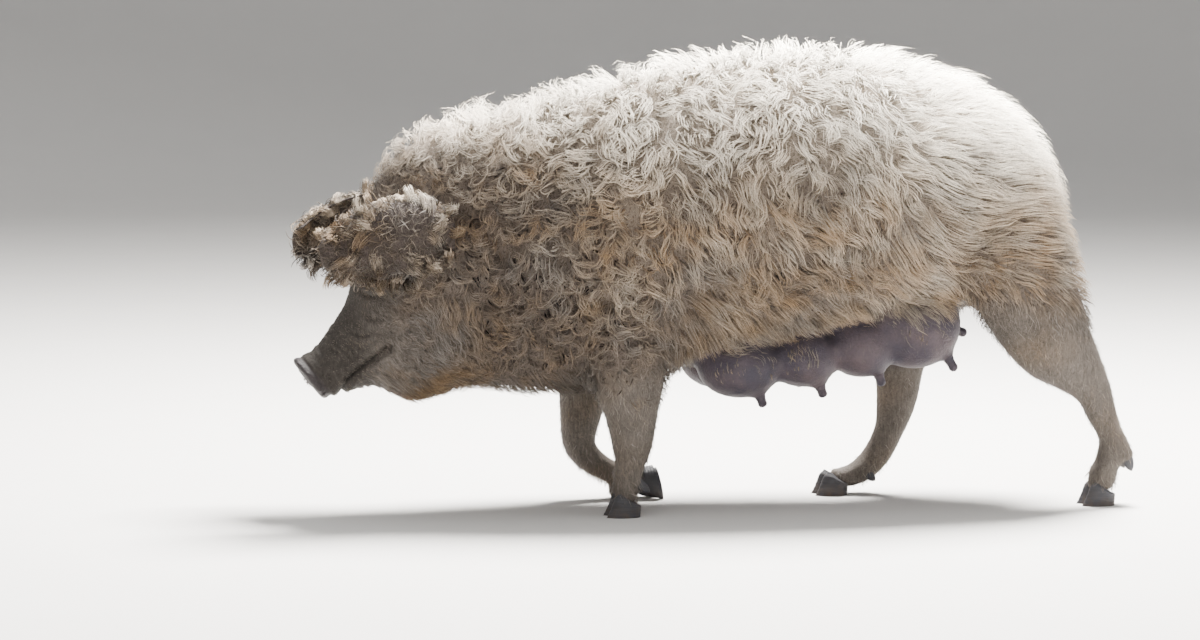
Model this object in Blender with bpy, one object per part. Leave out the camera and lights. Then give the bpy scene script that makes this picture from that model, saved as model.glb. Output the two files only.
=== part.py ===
"""A mangalica sow at life size, walking with her head low, lop ears over her eyes, in a curly fleece.

Metres, +Z up. The sow faces -X, and her left side is towards -Y. Her soles stand on z = 0.
The body is made whole from ribs and limb tubes, gets its locks, and is then parted with thin cuts.
"""

import math

import bmesh
import bpy
import numpy as np
from mathutils import Matrix, Vector
from mathutils.bvhtree import BVHTree

# Driving sizes
GAP = 0.0003
ROOM_GAP = 0.00045
SEED = 11
CORE_SHARE = 0.5
VOXEL = 0.011
SMOOTH_STEPS = 6
CORE_TRIANGLES = 3600
AROUND = 36
RIB_STEPS = 4
SAG = 0.10
FAR = 3.0

# Ribs from rump to snout: top x, z, bottom x, z, half width to the tips of the coat, depth of the coat
RIBS = {
    "rump": (0.652, 0.505, 0.650, 0.400, 0.060, 0.026),
    "tail root": (0.634, 0.600, 0.630, 0.350, 0.130, 0.030),
    "buttock": (0.590, 0.690, 0.585, 0.345, 0.180, 0.034),
    "croup": (0.500, 0.765, 0.490, 0.345, 0.215, 0.040),
    "hips": (0.390, 0.812, 0.375, 0.332, 0.238, 0.044),
    "loin": (0.250, 0.846, 0.240, 0.300, 0.252, 0.048),
    "back": (0.100, 0.850, 0.095, 0.266, 0.256, 0.050),
    "barrel": (-0.050, 0.830, -0.050, 0.234, 0.250, 0.050),
    "girth": (-0.185, 0.804, -0.180, 0.210, 0.236, 0.050),
    "withers": (-0.310, 0.767, -0.275, 0.200, 0.216, 0.050),
    "neck base": (-0.425, 0.740, -0.350, 0.202, 0.192, 0.048),
    "neck": (-0.515, 0.710, -0.405, 0.208, 0.174, 0.044),
    "nape": (-0.580, 0.668, -0.455, 0.212, 0.160, 0.032),
    "poll": (-0.622, 0.604, -0.505, 0.202, 0.148, 0.018),
    "brow": (-0.645, 0.520, -0.545, 0.196, 0.128, 0.012),
    "eyes": (-0.652, 0.440, -0.582, 0.212, 0.102, 0.006),
    "bridge": (-0.664, 0.380, -0.612, 0.226, 0.072, 0.004),
    "muzzle": (-0.690, 0.338, -0.640, 0.222, 0.056, 0.003),
    "snout": (-0.721, 0.296, -0.669, 0.219, 0.046, 0.002),
    "snout rim": (-0.739, 0.279, -0.689, 0.216, 0.044, 0.001),
    "disc": (-0.752, 0.270, -0.703, 0.211, 0.048, 0.000),
}

# Limbs as stations: x, z, distance from the middle plane, radius fore and aft, radius sideways
LIMBS = {
    "leg_front_left": [
        (-0.200, 0.500, -0.110, 0.100, 0.060),
        (-0.195, 0.420, -0.130, 0.110, 0.082),
        (-0.180, 0.290, -0.125, 0.086, 0.066),
        (-0.175, 0.224, -0.120, 0.064, 0.054),
        (-0.172, 0.193, -0.118, 0.054, 0.047),
        (-0.170, 0.160, -0.116, 0.0465, 0.041),
        (-0.1695, 0.136, -0.1155, 0.042, 0.038),
        (-0.171, 0.107, -0.115, 0.035, 0.034),
        (-0.177, 0.078, -0.115, 0.0265, 0.027),
        (-0.181, 0.052, -0.115, 0.0265, 0.030),
        (-0.183, 0.031, -0.115, 0.0255, 0.029),
    ],
    "leg_front_right": [
        (-0.190, 0.500, 0.110, 0.100, 0.060),
        (-0.180, 0.420, 0.130, 0.110, 0.082),
        (-0.195, 0.290, 0.125, 0.084, 0.066),
        (-0.212, 0.215, 0.120, 0.054, 0.050),
        (-0.222, 0.157, 0.116, 0.042, 0.040),
        (-0.225, 0.103, 0.115, 0.033, 0.034),
        (-0.203, 0.072, 0.115, 0.028, 0.029),
        (-0.171, 0.052, 0.115, 0.025, 0.027),
        (-0.143, 0.040, 0.115, 0.026, 0.030),
        (-0.127, 0.031, 0.115, 0.026, 0.029),
    ],
    "leg_hind_left": [
        (0.440, 0.620, -0.080, 0.110, 0.070),
        (0.495, 0.500, -0.118, 0.140, 0.100),
        (0.545, 0.385, -0.122, 0.110, 0.086),
        (0.596, 0.298, -0.116, 0.080, 0.064),
        (0.637, 0.253, -0.112, 0.058, 0.047),
        (0.672, 0.210, -0.110, 0.038, 0.035),
        (0.690, 0.166, -0.110, 0.031, 0.029),
        (0.708, 0.124, -0.110, 0.0255, 0.026),
        (0.709, 0.098, -0.110, 0.027, 0.030),
        (0.701, 0.072, -0.110, 0.0255, 0.029),
        (0.694, 0.048, -0.110, 0.027, 0.030),
        (0.690, 0.031, -0.110, 0.026, 0.029),
    ],
    "leg_hind_right": [
        (0.460, 0.620, 0.080, 0.110, 0.070),
        (0.480, 0.500, 0.118, 0.140, 0.100),
        (0.425, 0.385, 0.124, 0.098, 0.084),
        (0.389, 0.300, 0.120, 0.070, 0.062),
        (0.374, 0.240, 0.114, 0.050, 0.045),
        (0.369, 0.190, 0.110, 0.0435, 0.036),
        (0.363, 0.152, 0.110, 0.038, 0.031),
        (0.353, 0.117, 0.110, 0.031, 0.028),
        (0.334, 0.078, 0.110, 0.029, 0.029),
        (0.310, 0.050, 0.110, 0.027, 0.030),
        (0.285, 0.035, 0.110, 0.024, 0.029),
        (0.262, 0.028, 0.110, 0.021, 0.028),
    ],
}

# Limb stations above the first height carry coat, and above the second its full depth
LIMB_COAT = (0.25, 0.38, 0.044)

# Blocks that hold the free part of each limb: x of the front and the back, z of the top
LEG_BLOCKS = {
    "leg_front_left": (-0.30, -0.05, 0.196),
    "leg_front_right": (-0.32, 0.00, 0.196),
    "leg_hind_left": (0.50, 0.85, 0.298),
    "leg_hind_right": (0.12, 0.50, 0.252),
}
LEG_INSIDE = 0.020

# Trunk nodes from the front, and the planes that part them: a share of the way past a rib, then upright ones
TRUNK_NODES = ("snout", "head", "neck", "chest", "belly", "rump")
SLANTED_PARTINGS = (("muzzle", 0.6), ("nape", 0.55), ("neck base", 0.2))
UPRIGHT_PARTINGS = (-0.060, 0.330)
PLANE_REACH = 0.25

# Feet: x, y and z of the middle of the coronet, turn about the sideways axis in degrees
FEET = {
    "front_left": (-0.1845, -0.115, 0.040, 0.0),
    "front_right": (-0.122, 0.115, 0.0235, 103.0),
    "hind_left": (0.6840, -0.110, 0.040, 0.0),
    "hind_right": (0.2440, 0.110, 0.040, 0.0),
}
CLAW_LENGTH = 0.062
CLAW_WIDTH = 0.031
CLAW_HEIGHT = 0.044
CLAW_SPREAD = 0.0175
CLAW_SIDES = 10
CLAW_RINGS = ((0.0, 0.86), (0.06, 1.0), (0.55, 0.98), (1.0, 0.62))
# Claw: how much shorter and narrower the coronet is than the sole, how far back it sits, reach fore and aft
CLAW_SHORTER = 0.42
CLAW_NARROWER = 0.10
CLAW_BACKWARD = 0.010
CLAW_REACH = (0.58, 0.42)
CLAW_POINT = 0.30
CORONET_RISE = 0.004
# Dewclaws: root and tip behind and above the coronet, as x and z; radius at the root
DEWCLAWS = {
    "front_left": (0.012, 0.030, 0.042, 0.004, 0.0095),
    "front_right": (0.012, 0.030, 0.040, 0.004, 0.0095),
    "hind_left": (0.036, 0.078, 0.058, 0.022, 0.0105),
    "hind_right": (0.052, 0.010, 0.078, -0.014, 0.0100),
}
DEWCLAW_SPREAD = 0.022
DEWCLAW_ROOT_SPREAD = 0.016
DEWCLAW_TAPER = 0.55
# Rings of every peg along its length, and how blunt its last ring is
PEG_STEPS = (0.0, 0.55, 0.88, 1.0)
PEG_END = 0.45

# Udder lobes: x, z, distance to each side, radii
LOBES = [
    (0.030, 0.254, 0.080, 0.068, 0.070, 0.060),
    (0.150, 0.268, 0.080, 0.056, 0.064, 0.052),
    (0.255, 0.288, 0.076, 0.055, 0.062, 0.058),
    (0.350, 0.328, 0.074, 0.086, 0.074, 0.080),
]
UDDER_MIDDLE_RISE = 0.020
UDDER_MIDDLE_HALF_WIDTH = 0.050
UDDER_VOXEL = 0.009
UDDER_TRIANGLES = 640
TEAT_LENGTH = 0.034
TEAT_RADIUS = 0.0075
TEAT_TAPER = 0.8
# Where each teat's root sits from the bottom of its lobe, and the way the teat leans
TEAT_ROOT = (0.010, 0.006, 0.012)
TEAT_LEAN = (0.006, 0.004)
# The hind pair: root from the back of the last lobe, and how far each reaches back and down
HIND_TEAT_ROOT = (-0.016, -0.010, -0.030)
HIND_TEAT_REACH = (0.030, -0.004)

# Locks of the fleece: length, width, thickness, how far the lie turns down from straight back, random turn.
# They carry the depth of the coat; the finer hair between them is left to the picture's model
LOCKS = {
    "curl": (0.130, 0.112, 0.056, 0.65, 0.60),
    "lock": (0.160, 0.122, 0.056, 0.45, 0.35),
    "long lock": (0.165, 0.120, 0.050, 0.10, 0.15),
}
LONGEST_LOCK = 0.165
LOCK_PROFILE = ((0.0, 0.32), (0.25, 0.90), (0.65, 1.0), (1.0, 0.42))
LOCK_SIDES = 6
TUFT_SIDES = 5
LOCK_ROW_STEP = 0.106
LOCK_COLUMN_STEP = 0.112
LOCK_FIRST_ROW = 0.012
LOCK_APART = 0.084
LOCK_RISE = 0.004
LOCK_BEND = 0.022
LOCK_DROP = 0.012
LOCK_ROOTED = 0.4
LOCK_REACH = 0.045
LOCK_FACING = 0.75
FLEECE_TRIANGLES = 8000
CURLS_BEFORE = -0.20
LONG_LOCKS_BEHIND = 0.42
LEAST_COAT = 0.017
LOCK_JITTER = 0.18
LOCK_SIZES = (0.88, 1.12)
# No locks behind this x, below this z and nearer the middle plane than this
BARE_BELLY = (-0.10, 0.34, 0.16)
RIM_TUFTS = 7
RIM_TUFT = (0.060, 0.036, 0.024)
RIM_TUFT_RISE = 0.45

# Ears: the middle line of the flap as x, z, distance out; half heights of the flap along it. The free edge
# curls in, the top edge folds in, and the tip is drawn out
EAR_LINE = [(-0.488, 0.500, 0.150), (-0.570, 0.498, 0.180), (-0.650, 0.488, 0.182), (-0.728, 0.474, 0.166)]
EAR_HALF_HEIGHTS = [0.042, 0.070, 0.079, 0.081, 0.076, 0.060, 0.030]
EAR_CURL = 0.022
EAR_TIP = 0.012
EAR_STRETCH = {"left": 0.93, "right": 1.0}
EAR_THICKNESS = 0.010
EAR_FOLD = 0.052
EAR_ROWS = 10
EAR_COLUMNS = 7

# Face
EYE = (-0.622, 0.432)
EYE_RADIUS = 0.0125
EYE_SINK = 0.0075
LID_RADIUS = 0.0042
LID_STEPS = 12
LID_SIDES = 5
LID_FORWARD = 0.62
LID_OVAL = (1.12, 0.78)
MOUTH_LINE = [(-0.672, 0.222), (-0.661, 0.245), (-0.635, 0.270), (-0.600, 0.303)]
MOUTH_DEPTH = 0.007
MOUTH_OPENING = 0.007
CUTTER_RISE = 0.012
# Nostrils: distance from the middle plane, radii up and sideways, place above the middle of the disc
NOSTRIL_SPREAD = 0.016
NOSTRIL_RADII = (0.0085, 0.0065)
NOSTRIL_RISE = 0.04
NOSTRIL_DEPTH = 0.016

# Tail: x, z, distance to the right, radius
TAIL = [
    (0.598, 0.618, 0.030, 0.016),
    (0.632, 0.606, 0.046, 0.015),
    (0.645, 0.572, 0.066, 0.013),
    (0.647, 0.520, 0.088, 0.011),
    (0.644, 0.465, 0.104, 0.010),
    (0.641, 0.425, 0.112, 0.014),
    (0.638, 0.380, 0.116, 0.012),
    (0.636, 0.335, 0.118, 0.003),
]

# Which nodes give room to which
ROOM = {
    "eye_left": ["head"],
    "eye_right": ["head"],
    "ear_left": ["head", "neck"],
    "ear_right": ["head", "neck"],
    "udder": ["chest", "belly", "rump", "leg_hind_left", "leg_hind_right"],
    "tail": ["rump"],
}
for foot_name in FEET:
    for kind_name in ("claw", "dewclaw"):
        ROOM[f"{kind_name}_{foot_name}_a"] = [f"leg_{foot_name}"]
        ROOM[f"{kind_name}_{foot_name}_b"] = [f"leg_{foot_name}"]

MATERIALS = {
    "fleece": ((0.62, 0.54, 0.43, 1.0), 0.90),
    "short_hair": ((0.36, 0.31, 0.26, 1.0), 0.85),
    "ear_hair": ((0.42, 0.35, 0.28, 1.0), 0.88),
    "snout_skin": ((0.30, 0.26, 0.26, 1.0), 0.55),
    "udder_skin": ((0.30, 0.22, 0.24, 1.0), 0.60),
    "horn": ((0.20, 0.19, 0.19, 1.0), 0.50),
    "eye": ((0.03, 0.02, 0.015, 1.0), 0.10),
}


def material(name):
    """The Principled material of this name, made once."""
    made = bpy.data.materials.get(name)
    if made:
        return made
    colour, roughness = MATERIALS[name]
    made = bpy.data.materials.new(name)
    made.use_nodes = True
    shader = made.node_tree.nodes["Principled BSDF"]
    shader.inputs["Base Color"].default_value = colour
    shader.inputs["Roughness"].default_value = roughness
    shader.inputs["Metallic"].default_value = 0.0
    return made


def new_object(name, points, faces, finish=None):
    """A mesh object from points and faces, its normals facing out."""
    mesh = bpy.data.meshes.new(name)
    mesh.from_pydata([tuple(p) for p in np.asarray(points, float).reshape(-1, 3)], [], faces)
    work = bmesh.new()
    work.from_mesh(mesh)
    bmesh.ops.remove_doubles(work, verts=work.verts, dist=1e-6)
    bmesh.ops.recalc_face_normals(work, faces=work.faces)
    bmesh.ops.triangulate(work, faces=work.faces)
    work.to_mesh(mesh)
    work.free()
    made = bpy.data.objects.new(name, mesh)
    bpy.context.scene.collection.objects.link(made)
    if finish:
        mesh.materials.append(material(finish))
    return made


def curve_rows(rows, steps):
    """Rows of sizes, read at so many steps between each two of them, along a Catmull-Rom curve."""
    rows = np.asarray(rows, float)
    padded = np.vstack([2 * rows[0] - rows[1], rows, 2 * rows[-1] - rows[-2]])
    t = np.linspace(0, 1, steps, endpoint=False)[:, None]
    spans = [
        0.5 * (2 * b + (c - a) * t + (2 * a - 5 * b + 4 * c - d) * t**2 + (3 * b - a - 3 * c + d) * t**3)
        for a, b, c, d in zip(padded, padded[1:], padded[2:], padded[3:])
    ]
    return np.vstack([*spans, rows[-1:]])


def unit(vectors):
    """Vectors scaled to length one."""
    vectors = np.asarray(vectors, float)
    return vectors / np.maximum(np.linalg.norm(vectors, axis=-1, keepdims=True), 1e-12)


def tube(name, rings, finish=None):
    """A closed mesh through rings of points, each end closed by a fan round its middle."""
    rings = np.asarray(rings, float)
    count, sides = rings.shape[:2]
    points = np.vstack([rings.reshape(-1, 3), rings[0].mean(0), rings[-1].mean(0)])
    first, last = count * sides, count * sides + 1
    faces = []
    for k in range(sides):
        n = (k + 1) % sides
        for r in range(count - 1):
            faces.append((r * sides + k, r * sides + n, (r + 1) * sides + n, (r + 1) * sides + k))
        faces.append((first, n, k))
        faces.append((last, (count - 1) * sides + k, (count - 1) * sides + n))
    return new_object(name, points, faces, finish)


def shell(name, front, back, finish=None):
    """A closed flap between two sheets of points, their rims joined."""
    rows, columns = front.shape[:2]
    points = np.vstack([front.reshape(-1, 3), back.reshape(-1, 3)])
    index = np.arange(rows * columns).reshape(rows, columns)
    faces = []
    for grid in (index, index[:, ::-1] + rows * columns):
        corners = (grid[:-1, :-1], grid[1:, :-1], grid[1:, 1:], grid[:-1, 1:])
        faces += np.stack([corner.reshape(-1) for corner in corners], axis=1).tolist()
    rim = np.concatenate([index[0], index[1:, -1], index[-1, -2::-1], index[-2:0:-1, 0]])
    after, other = np.roll(rim, -1), rows * columns
    faces += np.stack([rim, after, after + other, rim + other], axis=1).tolist()
    return new_object(name, points, faces, finish)


def round_rings(path, radii, across, sides):
    """Rings square to a path: radii hold the size along the bend plane and the size along `across`."""
    path = np.asarray(path, float)
    along = unit(np.gradient(path, axis=0))
    across = unit(across - np.sum(across * along, axis=1, keepdims=True) * along)
    third = np.cross(along, across)
    angle = np.linspace(0, 2 * math.pi, sides, endpoint=False)[None, :, None]
    radii = np.asarray(radii, float)
    return (
        path[:, None]
        + third[:, None] * np.cos(angle) * radii[:, 0][:, None, None]
        + across[:, None] * np.sin(angle) * radii[:, 1][:, None, None]
    )


def trunk_rings(share):
    """Trunk, neck and head as rings through the ribs, drawn in by the part of the coat over `share`."""
    rows = curve_rows(list(RIBS.values()), RIB_STEPS)
    top = np.column_stack([rows[:, 0], np.zeros(len(rows)), rows[:, 1]])
    bottom = np.column_stack([rows[:, 2], np.zeros(len(rows)), rows[:, 3]])
    angle = np.linspace(0, 2 * math.pi, AROUND, endpoint=False)
    rise = np.cos(angle)[None, :, None]
    side = (np.sin(angle) * (1 - SAG * np.cos(angle)))[None, :, None]
    middle, half = (top + bottom) / 2, (top - bottom) / 2
    rings = middle[:, None] + half[:, None] * rise
    rings = rings + np.array([0.0, -1.0, 0.0]) * side * rows[:, 4][:, None, None]
    along = np.gradient(rings, axis=0)
    round_about = np.roll(rings, -1, axis=1) - np.roll(rings, 1, axis=1)
    outward = unit(np.cross(along, round_about))
    if np.sum(outward * (rings - middle[:, None])) < 0:
        outward = -outward
    return rings - outward * (rows[:, 5] * (1 - share))[:, None, None]


def limb(name):
    """One leg as a closed tube through its stations, drawn in where it carries coat."""
    rows = curve_rows(LIMBS[name], RIB_STEPS)
    low, high, depth = LIMB_COAT
    rows[:, 3:5] -= (np.clip((rows[:, 1] - low) / (high - low), 0, 1) * depth * (1 - CORE_SHARE))[:, None]
    path = np.column_stack([rows[:, 0], rows[:, 2], rows[:, 1]])
    across = np.tile([0.0, 1.0, 0.0], (len(rows), 1))
    return tube(name, round_rings(path, rows[:, 3:5], across, 20))


def apply_modifiers(made):
    """The object with its modifiers turned into mesh."""
    graph = bpy.context.evaluated_depsgraph_get()
    graph.update()
    mesh = bpy.data.meshes.new_from_object(made.evaluated_get(graph))
    made.modifiers.clear()
    made.data = mesh
    return made


def join(name, pieces):
    """Several objects as one mesh object, their bodies still separate."""
    work = bmesh.new()
    for piece in pieces:
        work.from_mesh(piece.data)
        bpy.data.objects.remove(piece)
    mesh = bpy.data.meshes.new(name)
    work.to_mesh(mesh)
    work.free()
    made = bpy.data.objects.new(name, mesh)
    bpy.context.scene.collection.objects.link(made)
    return made


def triangle_count(made):
    return sum(len(face.vertices) - 2 for face in made.data.polygons)


def thinned(made, triangles):
    """The mesh with fewer triangles, flat places first."""
    flat = made.modifiers.new("Flatten", "DECIMATE")
    flat.decimate_type = "DISSOLVE"
    flat.angle_limit = math.radians(1.0)
    apply_modifiers(made)
    thin = made.modifiers.new("Thin", "DECIMATE")
    thin.ratio = min(1.0, triangles / triangle_count(made))
    return apply_modifiers(made)


def melt(made, voxel, smooth_steps, triangles):
    """Overlapping bodies melted into one smooth body of about so many triangles."""
    remesh = made.modifiers.new("Melt", "REMESH")
    remesh.mode = "VOXEL"
    remesh.voxel_size = voxel
    soften = made.modifiers.new("Soften", "SMOOTH")
    soften.factor = 0.5
    soften.iterations = smooth_steps
    apply_modifiers(made)
    thin = made.modifiers.new("Thin", "DECIMATE")
    thin.ratio = min(1.0, triangles / triangle_count(made))
    return apply_modifiers(made)


def boolean(made, others, operation):
    """`made` with one Boolean on a collection of closed objects, which are then removed."""
    if not others:
        return made
    tools = bpy.data.collections.new("tools")
    bpy.context.scene.collection.children.link(tools)
    for other in others:
        bpy.context.scene.collection.objects.unlink(other)
        tools.objects.link(other)
    cut = made.modifiers.new("Boolean", "BOOLEAN")
    cut.operation = operation
    cut.operand_type = "COLLECTION"
    cut.collection = tools
    cut.solver = "MANIFOLD"
    apply_modifiers(made)
    for other in others:
        bpy.data.objects.remove(other)
    bpy.data.collections.remove(tools)
    return made


def keep_largest(made):
    """Leaves only the closed surface that encloses most."""
    work = bmesh.new()
    work.from_mesh(made.data)
    bmesh.ops.triangulate(work, faces=work.faces)
    left, bodies = set(work.verts), []
    while left:
        body, edge = set(), [left.pop()]
        while edge:
            vert = edge.pop()
            body.add(vert)
            near = {link.other_vert(vert) for link in vert.link_edges} & left
            left -= near
            edge.extend(near)
        bodies.append(body)
    sizes = []
    for body in bodies:
        points = np.array([v.co for v in body])
        sizes.append(np.prod(points.max(0) - points.min(0)))
    keep = bodies[int(np.argmax(sizes))]
    bmesh.ops.delete(work, geom=[v for v in work.verts if v not in keep], context="VERTS")
    work.to_mesh(made.data)
    work.free()
    return made


def copy_of(made, name):
    """A second object with its own copy of the mesh."""
    twin = bpy.data.objects.new(name, made.data.copy())
    bpy.context.scene.collection.objects.link(twin)
    return twin


def slab(name, outline, low_y, high_y):
    """A block between two sides, over an outline of x and z points."""
    count = len(outline)
    points = [(x, y, z) for y in (low_y, high_y) for x, z in outline]
    faces = [tuple(range(count)), tuple(range(2 * count - 1, count - 1, -1))]
    faces += [(k, (k + 1) % count, (k + 1) % count + count, k + count) for k in range(count)]
    return new_object(name, points, faces)


def part_of(whole, name, block, finish):
    """The part of the whole inside a block, as a node."""
    node = copy_of(whole, name)
    boolean(node, [block], "INTERSECT")
    keep_largest(node)
    node.data.materials.clear()
    node.data.materials.append(material(finish))
    return node


def ellipsoid(name, middle, radii, finish=None, level=2):
    """A closed ball of triangles, stretched to three radii."""
    work = bmesh.new()
    bmesh.ops.create_icosphere(work, subdivisions=level, radius=1.0)
    for vert in work.verts:
        vert.co = Vector([c * r + m for c, r, m in zip(vert.co, radii, middle)])
    mesh = bpy.data.meshes.new(name)
    work.to_mesh(mesh)
    work.free()
    made = bpy.data.objects.new(name, mesh)
    bpy.context.scene.collection.objects.link(made)
    if finish:
        mesh.materials.append(material(finish))
    return made


def grown(made, distance):
    """A copy of a closed piece, thicker all round, as the tool that makes room for it."""
    work = bmesh.new()
    work.from_mesh(made.data)
    bmesh.ops.recalc_face_normals(work, faces=work.faces)
    work.normal_update()
    moves = [vert.normal * distance * min(2.5, vert.calc_shell_factor()) for vert in work.verts]
    for vert, move in zip(work.verts, moves):
        vert.co += move
    mesh = bpy.data.meshes.new("space")
    work.to_mesh(mesh)
    work.free()
    space = bpy.data.objects.new("space", mesh)
    bpy.context.scene.collection.objects.link(space)
    return space


def cone(name, base, tip, base_radius, tip_radius, sides, finish=None):
    """A round peg from base to tip with a domed end."""
    base, tip = np.array(base, float), np.array(tip, float)
    steps = np.array(PEG_STEPS)
    radii = base_radius + (tip_radius - base_radius) * steps
    radii[-1] *= PEG_END
    path = base + (tip - base) * steps[:, None]
    across = np.tile([0.0, 1.0, 0.02], (len(path), 1))
    return tube(name, round_rings(path, np.column_stack([radii, radii]), across, sides), finish)


def claw_points(height_share):
    """One ring of a claw, in its own frame: the sole at 0, the coronet at 1, the toe towards -X."""
    angle = np.linspace(0, 2 * math.pi, CLAW_SIDES, endpoint=False)
    toe = np.cos(angle) < 0
    length = CLAW_LENGTH * (1 - CLAW_SHORTER * height_share)
    width = CLAW_WIDTH * (1 - CLAW_NARROWER * height_share)
    x = np.cos(angle) * np.where(toe, *CLAW_REACH) * length + CLAW_BACKWARD * height_share
    y = np.sin(angle) * (width / 2) * np.where(toe, 1 - CLAW_POINT * np.cos(angle) ** 4, 1.0)
    return x, y


def claw(name, foot, side):
    """A main claw of a foot, standing on its sole."""
    rings = []
    for share, inset in CLAW_RINGS:
        x, y = claw_points(share)
        z = np.full(len(x), (share - 1.0) * CLAW_HEIGHT + CORONET_RISE)
        rings.append(np.column_stack([x * inset, y * inset + side * CLAW_SPREAD, z]))
    return foot_place(tube(name, rings, "horn"), foot)


def foot_place(made, foot):
    """Sets a piece made round the coronet in its place on a foot."""
    *middle, turn = FEET[foot]
    made.data.transform(Matrix.Translation(middle) @ Matrix.Rotation(math.radians(-turn), 4, "Y"))
    return made


def dewclaw(name, foot, side):
    """A small claw behind and above the main ones."""
    x0, z0, x1, z1, radius = DEWCLAWS[foot]
    root = (x0, side * DEWCLAW_ROOT_SPREAD, z0)
    tip = (x1, side * DEWCLAW_SPREAD, z1)
    return foot_place(cone(name, root, tip, radius, radius * DEWCLAW_TAPER, 8, "horn"), foot)


def floor_cut(made):
    """Trims a piece to the floor."""
    floor = slab("floor", [(-FAR, -FAR), (FAR, -FAR), (FAR, 0.0), (-FAR, 0.0)], -FAR, FAR)
    return boolean(made, [floor], "DIFFERENCE")


def feet():
    """Every claw of the four feet, by node name."""
    made = {}
    for foot in FEET:
        for side, word in ((-1, "a"), (1, "b")):
            made[f"claw_{foot}_{word}"] = claw(f"claw_{foot}_{word}", foot, side)
            made[f"dewclaw_{foot}_{word}"] = dewclaw(f"dewclaw_{foot}_{word}", foot, side)
    return made


def udder():
    """Two rows of lobes with their teats, melted into one bag."""
    pieces = []
    for x, z, out, rx, ry, rz in LOBES:
        for side in (-1, 1):
            middle = (x, side * out, z)
            pieces.append(ellipsoid("lobe", middle, (rx, ry, rz), level=3))
    spine = [(x, 0.0, z + UDDER_MIDDLE_RISE) for x, z, *_ in LOBES]
    radii = np.array([(rz, UDDER_MIDDLE_HALF_WIDTH) for *_, rz in LOBES])
    pieces.append(tube("middle", round_rings(spine, radii, np.tile([0, 1, 0], (len(spine), 1)), 16)))
    bag = melt(join("udder", pieces), UDDER_VOXEL, SMOOTH_STEPS - 2, UDDER_TRIANGLES)
    teats = []
    for x, z, out, *_, rz in LOBES:
        for side in (-1, 1):
            root = np.array([x + TEAT_ROOT[0], side * (out + TEAT_ROOT[1]), z - rz + TEAT_ROOT[2]])
            tip = root + np.array([TEAT_LEAN[0], side * TEAT_LEAN[1], -TEAT_LENGTH])
            teats.append(cone("teat", root, tip, TEAT_RADIUS, TEAT_RADIUS * TEAT_TAPER, 6))
    x, z, out, rx, *_ = LOBES[-1]
    for side in (-1, 1):
        root = np.array([x + rx + HIND_TEAT_ROOT[0], side * (out + HIND_TEAT_ROOT[1]), z + HIND_TEAT_ROOT[2]])
        tip = root + np.array([HIND_TEAT_REACH[0], 0.0, HIND_TEAT_REACH[1]])
        teats.append(cone("teat", root, tip, TEAT_RADIUS, TEAT_RADIUS * TEAT_TAPER, 6))
    boolean(bag, teats, "UNION")
    bag.data.materials.clear()
    bag.data.materials.append(material("udder_skin"))
    return keep_largest(bag)


def ear_sheet(word, side):
    """The middle sheet of a lop ear along a bent line, its top edge folded in, and the way out of it."""
    line = curve_rows(EAR_LINE, EAR_ROWS)
    line[:, 0] = line[0, 0] + (line[:, 0] - line[0, 0]) * EAR_STRETCH[word]
    u = np.linspace(0, 1, EAR_ROWS)
    at = u * (len(line) - 1)
    x, z, out = (np.interp(at, np.arange(len(line)), line[:, k]) for k in range(3))
    half = np.interp(u, np.linspace(0, 1, len(EAR_HALF_HEIGHTS)), EAR_HALF_HEIGHTS)
    v = np.linspace(0, 1, EAR_COLUMNS)[None, :]
    height = z[:, None] + half[:, None] * np.cos(math.pi * v)
    reach = out[:, None] - EAR_FOLD * (1 - np.sin(math.pi / 2 * np.sqrt(v))) - EAR_CURL * v**4
    length = x[:, None] - EAR_TIP * np.sin(math.pi * v) * (u[:, None] > 0.9)
    sheet = np.stack([length, side * reach, height], axis=-1)
    outward = unit(np.cross(np.gradient(sheet, axis=0), np.gradient(sheet, axis=1)))
    return sheet, outward * np.sign(np.sum(outward[..., 1] * side))


def ear(word, side):
    """A lop ear hanging over the eye, its cup towards the head, with small curls round its free edge."""
    sheet, outward = ear_sheet(word, side)
    u, v = np.linspace(0, 1, EAR_ROWS)[:, None], np.linspace(0, 1, EAR_COLUMNS)[None, :]
    thick = (EAR_THICKNESS / 2) * (1 - 0.45 * u**2) * (0.55 + 0.45 * np.sin(math.pi * v))
    half = outward * thick[..., None]
    flap = shell(f"ear_{word}", sheet + half, sheet - half)
    random = np.random.default_rng(SEED)
    edge = np.vstack([sheet[1:, -1], sheet[-1, -2:0:-1], sheet[:0:-1, 0]])
    away = np.vstack([outward[1:, -1], outward[-1, -2:0:-1], outward[:0:-1, 0]])
    run = np.linalg.norm(np.diff(edge, axis=0), axis=1).cumsum()
    tufts = []
    for at in (np.arange(RIM_TUFTS) + 0.5) / RIM_TUFTS * run[-1]:
        k = int(np.searchsorted(run, at)) + 1
        size = np.array(RIM_TUFT) * random.uniform(*LOCK_SIZES)
        lie, rise = edge[k] - edge[k - 1], size[2] * RIM_TUFT_RISE
        tufts.append(lock(edge[k], away[k], lie, size, rise, 0.0, TUFT_SIDES))
    boolean(flap, tufts, "UNION")
    flap.data.materials.clear()
    flap.data.materials.append(material("ear_hair"))
    return keep_largest(flap)


def tail():
    """The tail with its tassel, hanging to the right of the rump."""
    rows = curve_rows(TAIL, 2)
    path = np.column_stack([rows[:, 0], rows[:, 2], rows[:, 1]])
    radii = np.column_stack([rows[:, 3], rows[:, 3]])
    across = np.tile([1.0, 0.0, 0.2], (len(rows), 1))
    return tube("tail", round_rings(path, radii, across, 8), "fleece")


def surface_at(tree, x, z, side):
    """The outermost point of a surface on one side, over a point of the middle plane."""
    hit, normal, _, _ = tree.ray_cast(Vector((x, side * FAR, z)), Vector((0.0, -side, 0.0)))
    return np.array(hit), np.array(normal)


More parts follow.
